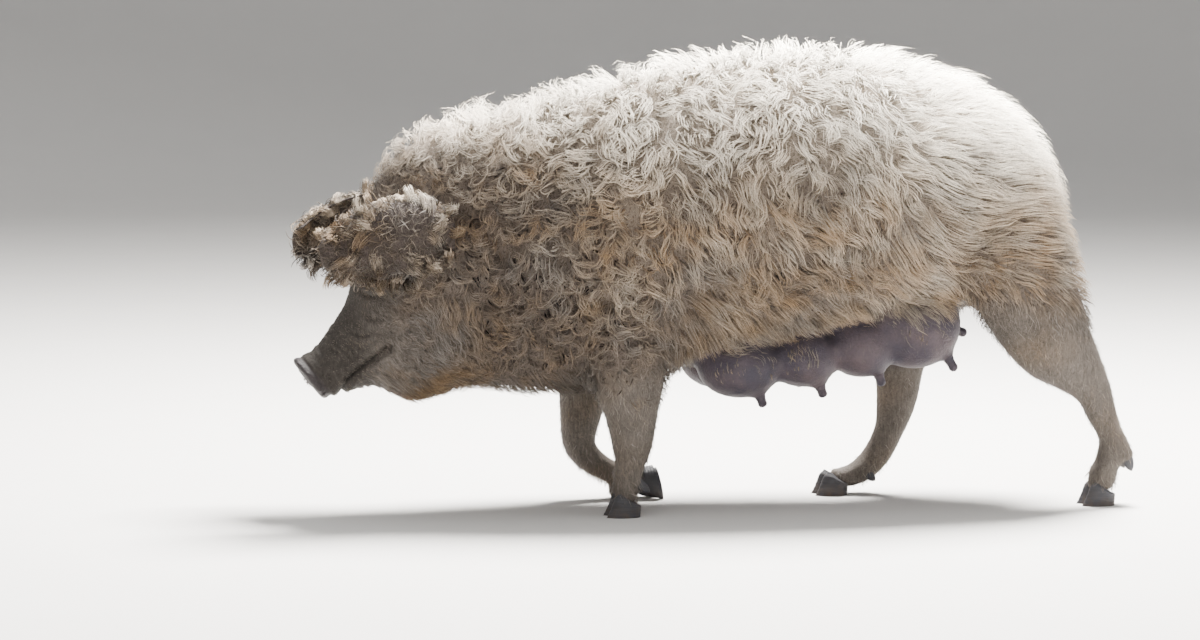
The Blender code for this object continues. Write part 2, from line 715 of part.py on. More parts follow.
def face_cuts(tree):
    """Cutters for the line of the mouth and the nostrils."""
    cutters = []
    line = curve_rows(MOUTH_LINE, 3)
    square = unit(np.column_stack([-np.gradient(line[:, 1]), np.gradient(line[:, 0])]))
    for side in (-1, 1):
        rings = []
        for (x, z), (nx, nz) in zip(line, square):
            hit, _ = surface_at(tree, x, z, side)
            deep = hit + np.array([0.0, -side * MOUTH_DEPTH, 0.0])
            wide = hit + np.array([0.0, side * CUTTER_RISE, 0.0])
            offset = np.array([nx, 0.0, nz]) * MOUTH_OPENING
            rings.append([deep, wide + offset, wide - offset])
        cutters.append(tube("mouth", rings))
    top, bottom = np.array(RIBS["disc"][0:2]), np.array(RIBS["disc"][2:4])
    middle = (top + bottom) / 2 + (top - bottom) * NOSTRIL_RISE
    facing = unit(np.array([bottom[1] - top[1], 0.0, top[0] - bottom[0]]))
    for side in (-1, 1):
        start = np.array([middle[0], side * NOSTRIL_SPREAD, middle[1]]) + facing * CUTTER_RISE
        end = start - facing * (CUTTER_RISE + NOSTRIL_DEPTH)
        radii = np.array([NOSTRIL_RADII, NOSTRIL_RADII]) * [[1.0], [0.5]]
        cutters.append(tube("nostril", round_rings([start, end], radii, np.tile([0, 1, 0], (2, 1)), 10)))
    return cutters


def eye_places(tree):
    """Where each eyeball sits, and the way it looks."""
    places = {}
    for side, word in ((-1, "left"), (1, "right")):
        hit, normal = surface_at(tree, EYE[0], EYE[1], side)
        places[word] = (hit - normal * EYE_SINK, normal)
    return places


def lid_ring(middle, facing):
    """The rim of the lids round one eye."""
    angle = np.linspace(0, 2 * math.pi, LID_STEPS + 1)
    forward = unit(np.cross([0.0, 0.0, 1.0], facing))
    upward = np.cross(facing, forward)
    along, across = LID_OVAL
    opening = forward * np.cos(angle)[:, None] * along + upward * np.sin(angle)[:, None] * across
    path = middle + (facing * LID_FORWARD + opening) * EYE_RADIUS
    radii = np.full((LID_STEPS + 1, 2), LID_RADIUS)
    rings = round_rings(path, radii, np.tile(facing, (LID_STEPS + 1, 1)), LID_SIDES)
    index = np.arange(LID_STEPS * LID_SIDES).reshape(LID_STEPS, LID_SIDES)
    onward, turned = np.roll(index, -1, axis=0), np.roll(index, -1, axis=1)
    both = np.roll(onward, -1, axis=1)
    faces = np.stack([index, turned, both, onward], axis=-1).reshape(-1, 4).tolist()
    return new_object("lids", rings[:LID_STEPS].reshape(-1, 3), faces)


def lock(root, outward, lie, size, rise, bend, sides=LOCK_SIDES):
    """One rounded lock: a bent pillow along its lie, its top `rise` above the root, its lower half sunk."""
    length, width, thickness = size
    outward, lie = unit(outward), unit(lie - np.dot(lie, outward) * outward)
    across = np.cross(outward, lie)
    along = np.array([t for t, _ in LOCK_PROFILE])
    swell = np.array([r for _, r in LOCK_PROFILE])
    path = root + outward * (rise - thickness / 2) + lie * ((along - LOCK_ROOTED) * length)[:, None]
    ends = ((2 * along - 1) ** 2)[:, None]
    path = path + across * bend * ends - outward * LOCK_DROP * length / LONGEST_LOCK * ends
    radii = np.column_stack([swell * thickness / 2, swell * width / 2])
    return tube("lock", round_rings(path, radii, np.tile(across, (len(along), 1)), sides))


def fleece_places(random):
    """Places of the locks in staggered rows: point, outward, backward and downward ways, depth of coat."""
    outer = trunk_rings(1.0)
    coat = curve_rows(list(RIBS.values()), RIB_STEPS)[:, 5]
    run = np.linalg.norm(np.diff(outer.mean(axis=1), axis=0), axis=1).cumsum()
    backward = unit(np.gradient(-outer, axis=0))
    placed = []
    for row, at in enumerate(np.arange(LOCK_FIRST_ROW, run[-1], LOCK_ROW_STEP)):
        k = int(np.searchsorted(run, at)) + 1
        if coat[k] < LEAST_COAT:
            continue
        ring = outer[k]
        step = np.roll(ring, -1, axis=0) - ring
        girth = np.linalg.norm(step, axis=1).cumsum()
        count = max(3, round(girth[-1] / LOCK_COLUMN_STEP))
        for column in range(count):
            share = (column + 0.5 * (row % 2) + random.uniform(-LOCK_JITTER, LOCK_JITTER)) / count % 1.0
            n = min(AROUND - 1, int(np.searchsorted(girth, share * girth[-1])))
            point = ring[n]
            if any(np.linalg.norm(point - other[0]) < LOCK_APART for other in placed):
                continue
            downward = unit(step[n]) * (-1 if step[n][2] > 0 else 1)
            outward = unit(np.cross(backward[k, n], downward))
            outward *= np.sign(np.dot(outward, point - ring.mean(axis=0)))
            placed.append((point, outward, backward[k, n], downward, coat[k]))
    return placed


def fleece(core):
    """All the locks of the coat, each on the core under its place."""
    random = np.random.default_rng(SEED)
    tree = BVHTree.FromObject(core, bpy.context.evaluated_depsgraph_get())
    locks = []
    for point, outward, backward, downward, coat in fleece_places(random):
        hit, normal, _, _ = tree.ray_cast(Vector(point + outward * FAR), Vector(-outward))
        if hit is None or np.linalg.norm(hit - Vector(point)) > LOCK_REACH:
            continue
        if np.dot(normal, outward) < LOCK_FACING:
            continue
        outward = unit(outward + np.array(normal))
        x, y, z = point
        if BARE_BELLY[0] < x and z < BARE_BELLY[1] and abs(y) < BARE_BELLY[2]:
            continue
        kind = "curl" if x < CURLS_BEFORE else "long lock" if x > LONG_LOCKS_BEHIND else "lock"
        *size, down, turn = LOCKS[kind]
        turned = down + random.uniform(-turn, turn)
        lie = backward * math.cos(turned) + downward * math.sin(turned)
        rise = coat * (1 - CORE_SHARE) + random.uniform(-1.0, 1.0) * LOCK_RISE
        size = np.array(size) * random.uniform(*LOCK_SIZES)
        bend = LOCK_BEND * random.uniform(-1.0, 1.0)
        locks.append(lock(np.array(hit), outward, lie, size, rise, bend))
    return locks


def clear_scene():
    for old in list(bpy.data.objects):
        bpy.data.objects.remove(old)


def whole_body():
    """Trunk, neck, head and limbs melted into one body."""
    pieces = [tube("trunk", trunk_rings(CORE_SHARE))]
    pieces += [limb(name) for name in LIMBS]
    return melt(join("body", pieces), VOXEL, SMOOTH_STEPS, CORE_TRIANGLES)


def rib_plane(rib, share):
    """Top and bottom of a plane set `share` of the way past a rib, carried well past the body."""
    names = list(RIBS)
    first, second = RIBS[rib], RIBS[names[names.index(rib) + 1]]
    mixed = [a + (b - a) * share for a, b in zip(first, second)]
    top, bottom = np.array(mixed[0:2]), np.array(mixed[2:4])
    reach = unit(top - bottom) * PLANE_REACH
    return tuple(top + reach), tuple(bottom - reach)


def upright_plane(x):
    return (x, FAR), (x, -FAR)


def trunk_regions():
    """Outlines of the trunk's nodes from snout to rump, as x and z points, each a gap from the next."""
    planes = [upright_plane(-FAR)]
    planes += [rib_plane(rib, share) for rib, share in SLANTED_PARTINGS]
    planes += [upright_plane(x) for x in UPRIGHT_PARTINGS]
    planes.append(upright_plane(FAR))
    regions = {}
    for name, front, back in zip(TRUNK_NODES, planes, planes[1:]):
        outline = [(x + ROOM_GAP / 2, z) for x, z in front]
        outline += [(x - ROOM_GAP / 2, z) for x, z in reversed(back)]
        regions[name] = outline
    return regions


def leg_block(name, room):
    """The block under whose top a limb is a node of its own, with `room` added at the top and inside."""
    front, back, top = LEG_BLOCKS[name]
    front, back, top = front - room, back + room, top + room
    outline = [(front, -FAR), (back, -FAR), (back, top), (front, top)]
    sides = (-FAR, room - LEG_INSIDE) if "left" in name else (LEG_INSIDE - room, FAR)
    return slab("block", outline, *sides)


def main():
    clear_scene()
    body = whole_body()
    boolean(body, fleece(body), "UNION")
    keep_largest(body)
    thinned(body, FLEECE_TRIANGLES)
    tree = BVHTree.FromObject(body, bpy.context.evaluated_depsgraph_get())
    cuts = face_cuts(tree)
    eyes = eye_places(tree)
    nodes = {}
    finishes = {"snout": "snout_skin", "head": "short_hair"}
    torso = copy_of(body, "torso")
    for name in LIMBS:
        nodes[name] = part_of(body, name, leg_block(name, 0.0), "short_hair")
        boolean(torso, [leg_block(name, GAP)], "DIFFERENCE")
    boolean(torso, [lid_ring(*eyes[word]) for word in eyes], "UNION")
    for name, outline in trunk_regions().items():
        block = slab("block", outline, -FAR, FAR)
        nodes[name] = part_of(torso, name, block, finishes.get(name, "fleece"))
    bpy.data.objects.remove(torso)
    bpy.data.objects.remove(body)

    mouth = [copy_of(cut, "cut") for cut in cuts if cut.name.startswith("mouth")]
    boolean(nodes["head"], mouth, "DIFFERENCE")
    boolean(nodes["snout"], cuts, "DIFFERENCE")

    for word, (middle, _) in eyes.items():
        nodes[f"eye_{word}"] = ellipsoid(f"eye_{word}", middle, [EYE_RADIUS] * 3, "eye")
    for side, word in ((-1, "left"), (1, "right")):
        nodes[f"ear_{word}"] = ear(word, side)
    nodes["udder"] = udder()
    nodes["tail"] = tail()
    nodes.update(feet())
    for keeper, givers in ROOM.items():
        for giver in givers:
            boolean(nodes[giver], [grown(nodes[keeper], ROOM_GAP)], "DIFFERENCE")
            keep_largest(nodes[giver])

    for foot in FEET:
        for word in "ab":
            floor_cut(nodes[f"claw_{foot}_{word}"])
        floor_cut(nodes[f"leg_{foot}"])

    corners = np.array([made.matrix_world @ v.co for made in nodes.values() for v in made.data.vertices])
    middle = (corners.max(0) + corners.min(0)) / 2
    for name, made in nodes.items():
        made.name = name
        made.data.transform(Matrix.Translation((-middle[0], -middle[1], 0.0)))
        made.data.shade_flat()


main()
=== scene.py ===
"""Looks of the mangalica sow: one skin, a curly coat of solid tufts, lop ears, claws and eyes, in a studio.

Everything is shaped in the sow's own space, as in the CAD source: metres, +Z up, snout towards -X and her
left side towards -Y. SHIFT moves it into the row's frame at the end.
"""

import math

import bmesh
import bpy
import numpy as np
from mathutils import Matrix, Vector
from mathutils.bvhtree import BVHTree
from mathutils.kdtree import KDTree


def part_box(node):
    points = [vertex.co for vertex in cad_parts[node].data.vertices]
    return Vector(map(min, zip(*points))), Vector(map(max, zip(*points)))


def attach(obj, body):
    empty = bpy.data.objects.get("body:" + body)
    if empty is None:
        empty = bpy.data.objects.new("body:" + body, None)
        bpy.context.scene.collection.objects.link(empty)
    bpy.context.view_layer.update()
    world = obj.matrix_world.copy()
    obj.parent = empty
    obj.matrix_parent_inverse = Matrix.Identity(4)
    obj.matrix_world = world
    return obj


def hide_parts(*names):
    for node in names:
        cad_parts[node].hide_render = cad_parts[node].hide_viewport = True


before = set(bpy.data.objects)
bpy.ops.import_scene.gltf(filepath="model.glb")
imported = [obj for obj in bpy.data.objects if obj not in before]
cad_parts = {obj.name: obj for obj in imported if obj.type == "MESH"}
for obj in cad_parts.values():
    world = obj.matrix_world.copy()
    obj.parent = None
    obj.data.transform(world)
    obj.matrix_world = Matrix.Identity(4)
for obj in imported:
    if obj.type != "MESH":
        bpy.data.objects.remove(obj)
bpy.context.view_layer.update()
SEED = 7

SIDES = ((-1, "left"), (1, "right"))
SIDEWAYS = (0.0, 1.0, 0.0)
# For the rings of small parts that may themselves lie across
NEAR_SIDEWAYS = (0.0, 1.0, 0.02)

# Where the toe of the near front claw is in the sow's own space, which ties it to the row's frame
TOE = (-0.2190, -0.148)
CLAW_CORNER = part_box("claw_front_left_a")[0]
SHIFT = Vector((CLAW_CORNER.x - TOE[0], CLAW_CORNER.y - TOE[1], 0.0))

# Ribs from rump to snout: top x, z, bottom x, z, half width to the tips of the coat, depth of the coat
RIBS = {
    "rump": (0.652, 0.505, 0.650, 0.400, 0.060, 0.026),
    "tail root": (0.634, 0.600, 0.630, 0.350, 0.130, 0.030),
    "buttock": (0.590, 0.690, 0.585, 0.345, 0.180, 0.034),
    "croup": (0.500, 0.765, 0.490, 0.345, 0.215, 0.040),
    "hips": (0.390, 0.812, 0.375, 0.332, 0.238, 0.044),
    "loin": (0.250, 0.846, 0.240, 0.300, 0.252, 0.048),
    "back": (0.100, 0.850, 0.095, 0.266, 0.256, 0.050),
    "barrel": (-0.050, 0.830, -0.050, 0.234, 0.250, 0.050),
    "girth": (-0.185, 0.804, -0.180, 0.210, 0.236, 0.050),
    "withers": (-0.310, 0.767, -0.275, 0.200, 0.216, 0.050),
    "neck base": (-0.425, 0.740, -0.350, 0.202, 0.192, 0.048),
    "neck": (-0.515, 0.710, -0.405, 0.208, 0.174, 0.044),
    "nape": (-0.580, 0.668, -0.455, 0.212, 0.160, 0.032),
    "poll": (-0.622, 0.604, -0.505, 0.202, 0.148, 0.023),
    "brow": (-0.645, 0.520, -0.545, 0.196, 0.128, 0.014),
    "eyes": (-0.652, 0.440, -0.582, 0.212, 0.102, 0.006),
    "bridge": (-0.664, 0.380, -0.612, 0.226, 0.072, 0.004),
    "muzzle": (-0.690, 0.338, -0.640, 0.222, 0.056, 0.003),
    "snout": (-0.721, 0.296, -0.669, 0.219, 0.046, 0.002),
    "snout rim": (-0.742, 0.285, -0.688, 0.213, 0.046, 0.001),
    "disc": (-0.757, 0.278, -0.702, 0.207, 0.052, 0.000),
}
AROUND = 96
RIB_STEPS = 8
SAG = 0.10
UNDERSIDE_THINNER = 0.60

# Limbs as stations: x, z, distance from the middle plane, radius fore and aft, radius sideways
LIMBS = {
    "leg_front_left": [
        (-0.200, 0.500, -0.110, 0.100, 0.060),
        (-0.195, 0.420, -0.130, 0.110, 0.082),
        (-0.180, 0.290, -0.125, 0.086, 0.066),
        (-0.175, 0.224, -0.120, 0.064, 0.054),
        (-0.172, 0.193, -0.118, 0.054, 0.047),
        (-0.170, 0.160, -0.116, 0.0465, 0.041),
        (-0.1695, 0.136, -0.1155, 0.042, 0.038),
        (-0.171, 0.107, -0.115, 0.035, 0.034),
        (-0.177, 0.078, -0.115, 0.0265, 0.027),
        (-0.181, 0.052, -0.115, 0.0265, 0.030),
        (-0.181, 0.031, -0.115, 0.0225, 0.029),
    ],
    "leg_front_right": [
        (-0.190, 0.500, 0.110, 0.100, 0.060),
        (-0.180, 0.420, 0.130, 0.110, 0.082),
        (-0.195, 0.290, 0.125, 0.084, 0.066),
        (-0.212, 0.215, 0.120, 0.054, 0.050),
        (-0.222, 0.157, 0.116, 0.042, 0.040),
        (-0.225, 0.103, 0.115, 0.033, 0.034),
        (-0.203, 0.072, 0.115, 0.028, 0.029),
        (-0.171, 0.052, 0.115, 0.025, 0.027),
        (-0.143, 0.040, 0.115, 0.026, 0.030),
        (-0.127, 0.031, 0.115, 0.026, 0.029),
    ],
    "leg_hind_left": [
        (0.440, 0.620, -0.080, 0.110, 0.070),
        (0.495, 0.500, -0.118, 0.140, 0.100),
        (0.545, 0.385, -0.122, 0.110, 0.086),
        (0.596, 0.298, -0.116, 0.080, 0.064),
        (0.637, 0.253, -0.112, 0.058, 0.047),
        (0.672, 0.210, -0.110, 0.038, 0.035),
        (0.690, 0.166, -0.110, 0.031, 0.029),
        (0.708, 0.124, -0.110, 0.0255, 0.026),
        (0.709, 0.098, -0.110, 0.027, 0.030),
        (0.701, 0.072, -0.110, 0.0255, 0.029),
        (0.696, 0.048, -0.110, 0.0245, 0.029),
        (0.691, 0.031, -0.110, 0.0215, 0.028),
    ],
    "leg_hind_right": [
        (0.460, 0.620, 0.080, 0.110, 0.070),
        (0.480, 0.500, 0.118, 0.140, 0.100),
        (0.425, 0.385, 0.124, 0.098, 0.084),
        (0.389, 0.300, 0.120, 0.070, 0.062),
        (0.374, 0.240, 0.114, 0.050, 0.045),
        (0.369, 0.190, 0.110, 0.0435, 0.036),
        (0.363, 0.152, 0.110, 0.038, 0.031),
        (0.353, 0.117, 0.110, 0.031, 0.028),
        (0.334, 0.078, 0.110, 0.029, 0.029),
        (0.310, 0.050, 0.110, 0.027, 0.030),
        (0.285, 0.035, 0.110, 0.024, 0.029),
        (0.262, 0.031, 0.110, 0.0205, 0.029),
        (0.243, 0.034, 0.110, 0.0170, 0.030),
    ],
}
# Limb stations above the first height carry coat, and above the second its full depth, in front and behind
LIMB_COAT = {"front": (0.225, 0.37), "hind": (0.30, 0.52)}
LIMB_DEPTH = 0.042
SHORT_COAT = 0.003
# The coat thins out this far below the first height
LEG_FRINGE = 0.055

# Feet: x, y and z of the middle of the coronet, and how far the foot is turned back, in degrees
FEET = {
    "front_left": (-0.1845, -0.115, 0.040, 0.0),
    "front_right": (-0.122, 0.115, 0.0235, 103.0),
    "hind_left": (0.6840, -0.110, 0.040, 0.0),
    "hind_right": (0.2440, 0.110, 0.040, 0.0),
}
CLAW_LENGTH = 0.062
CLAW_WIDTH = 0.031
CLAW_HEIGHT = 0.044
CLAW_SPREAD = 0.0175
CLAW_SHORTER = 0.30
CLAW_NARROWER = 0.10
CLAW_BACKWARD = 0.010
# Shares of a claw's length in front of its middle and behind it
CLAW_REACH = (0.58, 0.42)
CLAW_POINT = 0.30
CORONET_RISE = 0.004
HEEL_LOWER = 0.40
TOE_LOWER = 0.30
# Dewclaws in the frame of their foot: x and z of the root, x and z of the tip, radius
DEWCLAWS = {
    "front_left": (0.012, 0.030, 0.042, 0.004, 0.0095),
    "front_right": (0.012, 0.030, 0.040, 0.004, 0.0095),
    "hind_left": (0.036, 0.078, 0.057, 0.022, 0.0125),
    "hind_right": (0.052, 0.010, 0.078, -0.014, 0.0100),
}
DEWCLAW_SPREAD = 0.022
DEWCLAW_ROOT_SPREAD = 0.016
# Share of a dewclaw's length that its sleeve of skin covers, where it isn't half
DEWCLAW_COVERED = {"hind_left": 0.66}
# How high the skin over the top of each pair of claws starts above the coronet
CUFF_TOPS = {"front_left": 0.030, "front_right": 0.020, "hind_left": 0.026}
CUFF_BOTTOM = -0.005
CUFF_FORWARD = 0.004
# Radii of that skin fore and aft and sideways, at its top and its rim, and how much lower the rim is, by x
CUFF_RADII = ((0.0200, 0.0260), (0.0215, 0.0310))
CUFF_DROP = (0.007, 0.08, -0.006)

# Lobes in the sow's left half: x, z, distance from the middle plane, and the three radii
LOBES = [
    (0.030, 0.258, 0.080, 0.076, 0.070, 0.056),
    (0.145, 0.270, 0.080, 0.064, 0.064, 0.051),
    (0.252, 0.290, 0.076, 0.062, 0.062, 0.056),
    (0.350, 0.328, 0.074, 0.086, 0.074, 0.080),
]
# Teats in the sow's left half: where each mound starts in its lobe, and where the teat ends
TEATS = [
    ((0.058, 0.228, 0.090), (0.072, 0.186, 0.095)),
    ((0.168, 0.242, 0.088), (0.182, 0.201, 0.093)),
    ((0.276, 0.264, 0.084), (0.290, 0.219, 0.088)),
    ((0.394, 0.296, 0.086), (0.424, 0.244, 0.090)),
    ((0.400, 0.326, 0.060), (0.452, 0.308, 0.060)),
]
TEAT_RADIUS = 0.0082
MOUND_RADIUS = 0.029
MOUND_REACH = 0.62
MOUND_TAPER = 0.64
TEAT_START = 0.35
# What the skin's material reads on the teats
TEAT_NUMBERS = {"udder": 1.0, "tan": 0.3, "dark": 0.5} | dict.fromkeys(
    ("pale", "head", "snout", "coated", "muzzle", "hollow_shade"), 0.0
)
UDDER_MIDDLE_RISE = 0.020
UDDER_MIDDLE_HALF_WIDTH = 0.050

# An ear's middle line from root to tip: x, z, distance from the middle plane
EAR_LINE = [(-0.488, 0.500, 0.150), (-0.570, 0.498, 0.180), (-0.650, 0.488, 0.182), (-0.728, 0.474, 0.166)]
EAR_HALF_HEIGHTS = [0.034, 0.056, 0.063, 0.064, 0.060, 0.048, 0.025]
EAR_CURL = 0.022
EAR_TIP = 0.012
EAR_STRETCH = {"left": 0.93, "right": 1.0}
EAR_THICKNESS = 0.007
EAR_FOLD = 0.052
EAR_ROWS = 60
EAR_COLUMNS = 44
EAR_LOCKS = 64
EAR_LOCK_HAIRS = 34
EAR_MIDDLE_HAIRS = 1300
# Shares of the way round an ear's edge where its bottom, its tip and its top end
EAR_EDGE = (0.38, 0.52, 0.86)

# Places and lines of the head in the side view: x, z
EYE = (-0.622, 0.432)
EYE_RADIUS = 0.0125
EYE_SINK = 0.0085
EYE_SURROUNDINGS = 0.038
FACE_FOLDS = [
    [(-0.650, 0.402), (-0.626, 0.392), (-0.600, 0.399)],
    [(-0.646, 0.366), (-0.616, 0.352), (-0.588, 0.364)],
    [(-0.664, 0.330), (-0.640, 0.322), (-0.618, 0.336)],
]
MOUTH_LINE = [(-0.672, 0.222), (-0.661, 0.245), (-0.635, 0.270), (-0.600, 0.303)]
MOUTH_CORNER = (-0.597, 0.306)
MOUTH_CORNER_SWELL = (-0.572, 0.318)
NECK_FOLDS = [[(-0.552, 0.612), (-0.530, 0.570)], [(-0.516, 0.598), (-0.498, 0.560), (-0.470, 0.510)]]
NOSTRIL_SPREAD = 0.016
NOSTRIL_RISE = 0.002
NOSTRIL_RADII = (0.0070, 0.0095)
NOSTRIL_DEPTH = 0.012
# Width and height of the opening of an eye, and its size
LID_STRETCH = (1.30, 0.80)
LID_OPENING = 0.0100

# Tail from root to tip: x, z, distance from the middle plane, radius
TAIL = [
    (0.598, 0.618, 0.030, 0.012),
    (0.632, 0.606, 0.046, 0.011),
    (0.645, 0.572, 0.066, 0.009),
    (0.647, 0.520, 0.088, 0.007),
    (0.644, 0.465, 0.104, 0.006),
    (0.641, 0.425, 0.112, 0.005),
    (0.638, 0.400, 0.114, 0.003),
]

SKIN_VOXEL = 0.0075
# Rounds of evening out: on the whole skin, then only where no small form would melt away
SKIN_SMOOTHING = (4, 10)

BODY_GUIDES = 4400
SHORT_HAIRS = 16000
TAIL_HAIRS = 1000
LASHES = 90
# The most triangles of one piece of coat
COAT_TRIANGLES = 190000
# Kinds of hair: points along each, how many, width, how much the tips gather, sideways swing, share of the depth
HAIR_KINDS = {
    "under": (4, 8500, 0.0044, 0.10, 0.0025, (0.35, 0.68)),
    "curly": (7, 10100, 0.0015, 0.40, 0.0030, (0.55, 1.0)),
    "wavy": (5, 15100, 0.0015, 0.36, 0.0034, (0.50, 1.0)),
    "straight": (4, 16500, 0.0015, 0.22, 0.0014, (0.48, 1.0)),
}
KIND_NUMBERS = {"curly": 0, "wavy": 1, "straight": 2}
# Guides of curly, wavy and straight hair: length in depths of the coat, turn, swing and stray, in radians
GUIDE_REACHES = (0.85, 1.00, 1.35)
GUIDE_TURNS = ((2.2, 5.4), (0.1, 1.1), (0.0, 0.25))
GUIDE_SWINGS = ((0.2, 0.9), (0.3, 0.8), (0.1, 0.35))
GUIDE_STRAYS = (0.8, 0.22, 0.11)
# How far the shading of the coat leans to the skin under it
SOFTNESS = 0.72
# Size of a hair's patch on the unwrap
PATCH = 0.003


def unit(vectors):
    """Vectors scaled to length one."""
    vectors = np.asarray(vectors, float)
    return vectors / np.maximum(np.linalg.norm(vectors, axis=-1, keepdims=True), 1e-12)


def dot(a, b):
    """The scalar product along the last axis, which is kept."""
    return np.sum(a * b, axis=-1, keepdims=True)


def off(vectors, normals):
    """The part of each vector that is square to a normal of length one."""
    return vectors - normals * dot(vectors, normals)


def towards(first, second, angle):
    """Directions turned from the first to the second by an angle."""
    return first * np.cos(angle)[:, None] + second * np.sin(angle)[:, None]


def ease(value, low, high):
    """A smooth step: 0 at low, 1 at high, level at both ends."""
    t = np.clip((value - low) / (high - low), 0, 1)
    return t * t * (3 - 2 * t)


def fade(value, low, high):
    """The same step turned over: 1 at low, 0 at high."""
    return 1 - ease(value, low, high)


def bell(value, middle, width):
    """A bump that is 1 in the middle and falls off as a normal curve."""
    return np.exp(-(((value - middle) / width) ** 2))


def curve_rows(rows, steps):
    """Rows of sizes, read at so many steps between each two of them, along a Catmull-Rom curve."""
    rows = np.asarray(rows, float)
    padded = np.vstack([2 * rows[0] - rows[1], rows, 2 * rows[-1] - rows[-2]])
    t = np.linspace(0, 1, steps, endpoint=False)[:, None]
    spans = [
        0.5 * (2 * b + (c - a) * t + (2 * a - 5 * b + 4 * c - d) * t**2 + (3 * b - a - 3 * c + d) * t**3)
        for a, b, c, d in zip(padded, padded[1:], padded[2:], padded[3:])
    ]
    return np.vstack([*spans, rows[-1:]])


def round_rings(path, radii, across, sides=20):
    """Rings square to a path. Radii hold one size for each, or two: in the plane of the bend and along `across`."""
    path, radii, across = (np.asarray(part, float) for part in (path, radii, across))
    if radii.ndim == 1:
        radii = np.column_stack([radii, radii])
    along = unit(np.gradient(path, axis=0))
    across = unit(off(across, along))
    third = np.cross(along, across)
    angle = np.linspace(0, 2 * math.pi, sides, endpoint=False)[None, :, None]
    return (
        path[:, None]
        + third[:, None] * np.cos(angle) * radii[:, 0][:, None, None]
        + across[:, None] * np.sin(angle) * radii[:, 1][:, None, None]
    )


def tube(rings):
    """Points and faces of a closed tube through rings, its ends closed by fans round their middles."""
    rings = np.asarray(rings, float)
    count, sides = rings.shape[:2]
    points = np.vstack([rings.reshape(-1, 3), rings[0].mean(0), rings[-1].mean(0)])
    index = np.arange(count * sides).reshape(count, sides)
    turned = np.roll(index, -1, axis=1)
    walls = np.stack([index[:-1], turned[:-1], turned[1:], index[1:]], axis=-1).reshape(-1, 4).tolist()
    start = np.stack([np.full(sides, count * sides), turned[0], index[0]], axis=-1).tolist()
    end = np.stack([np.full(sides, count * sides + 1), index[-1], turned[-1]], axis=-1).tolist()
    return points, walls + start + end


def joined(parts):
    """Several points-and-faces pairs as one."""
    points, faces, offset = [], [], 0
    for part_points, part_faces in parts:
        points.append(part_points)
        faces += [[k + offset for k in face] for face in part_faces]
        offset += len(part_points)
    return np.vstack(points), faces


def ball(middle, radii, rings=24, sides=32):
    """A closed ball stretched to three radii, as a tube whose rings follow a half circle."""
    angle = np.linspace(0.06, math.pi - 0.06, rings)[:, None]
    turn = np.linspace(0, 2 * math.pi, sides, endpoint=False)[None, :]
    shape = np.stack([np.sin(angle) * np.cos(turn), np.sin(angle) * np.sin(turn), np.cos(angle) + 0 * turn], axis=-1)
    return tube(np.asarray(middle) + shape * np.asarray(radii))


def scene_object(name, data):
    """An object of the scene for a mesh, a lamp or a camera."""
    made = bpy.data.objects.new(name, data)
    bpy.context.scene.collection.objects.link(made)
    return made


def shade_smooth(mesh):
    """Lets the light run over every face of a mesh without edges."""
    mesh.polygons.foreach_set("use_smooth", np.ones(len(mesh.polygons), bool))


def mesh_object(name, points, faces, material=None):
    """A smooth mesh object with its normals facing out."""
    mesh = bpy.data.meshes.new(name)
    mesh.from_pydata(np.asarray(points, float).tolist(), [], faces)
    work = bmesh.new()
    work.from_mesh(mesh)
    bmesh.ops.recalc_face_normals(work, faces=work.faces)
    work.to_mesh(mesh)
    work.free()
    shade_smooth(mesh)
    if material:
        mesh.materials.append(material)
    return scene_object(name, mesh)


def apply_modifiers(made):
    """Turns the modifiers of an object into mesh."""
    graph = bpy.context.evaluated_depsgraph_get()
    graph.update()
    mesh = bpy.data.meshes.new_from_object(made.evaluated_get(graph))
    made.modifiers.clear()
    made.data = mesh


def smoothed(made, times):
    """Evens out an object, so many times."""
    soften = made.modifiers.new("Soften", "SMOOTH")
    soften.factor = 0.5
    soften.iterations = times
    apply_modifiers(made)


def triples(items, name, kind=np.float32):
    """A property of three numbers, read from every item of a mesh."""
    flat = np.empty(len(items) * 3, kind)
    items.foreach_get(name, flat)
    return flat.reshape(-1, 3)


def vertices_of(mesh):
    """Every vertex and its normal, as arrays."""
    return triples(mesh.vertices, "co").astype(float), triples(mesh.vertices, "normal").astype(float)


def move_vertices(mesh, points):
    """Moves every vertex to its new point."""
    mesh.vertices.foreach_set("co", np.asarray(points, np.float32).ravel())
    mesh.update()


def set_numbers(mesh, numbers):
    """Named numbers for each vertex, for the materials."""
    for name, values in numbers.items():
        layer = mesh.attributes.new(name, "FLOAT", "POINT")
        layer.data.foreach_set("value", np.asarray(values, np.float32))


def nearest_tree(points):
    """A tree that finds the number of the nearest of these points."""
    tree = KDTree(len(points))
    for k, point in enumerate(points.tolist()):
        tree.insert(point, k)
    tree.balance()
    return tree


# Shape of the sow


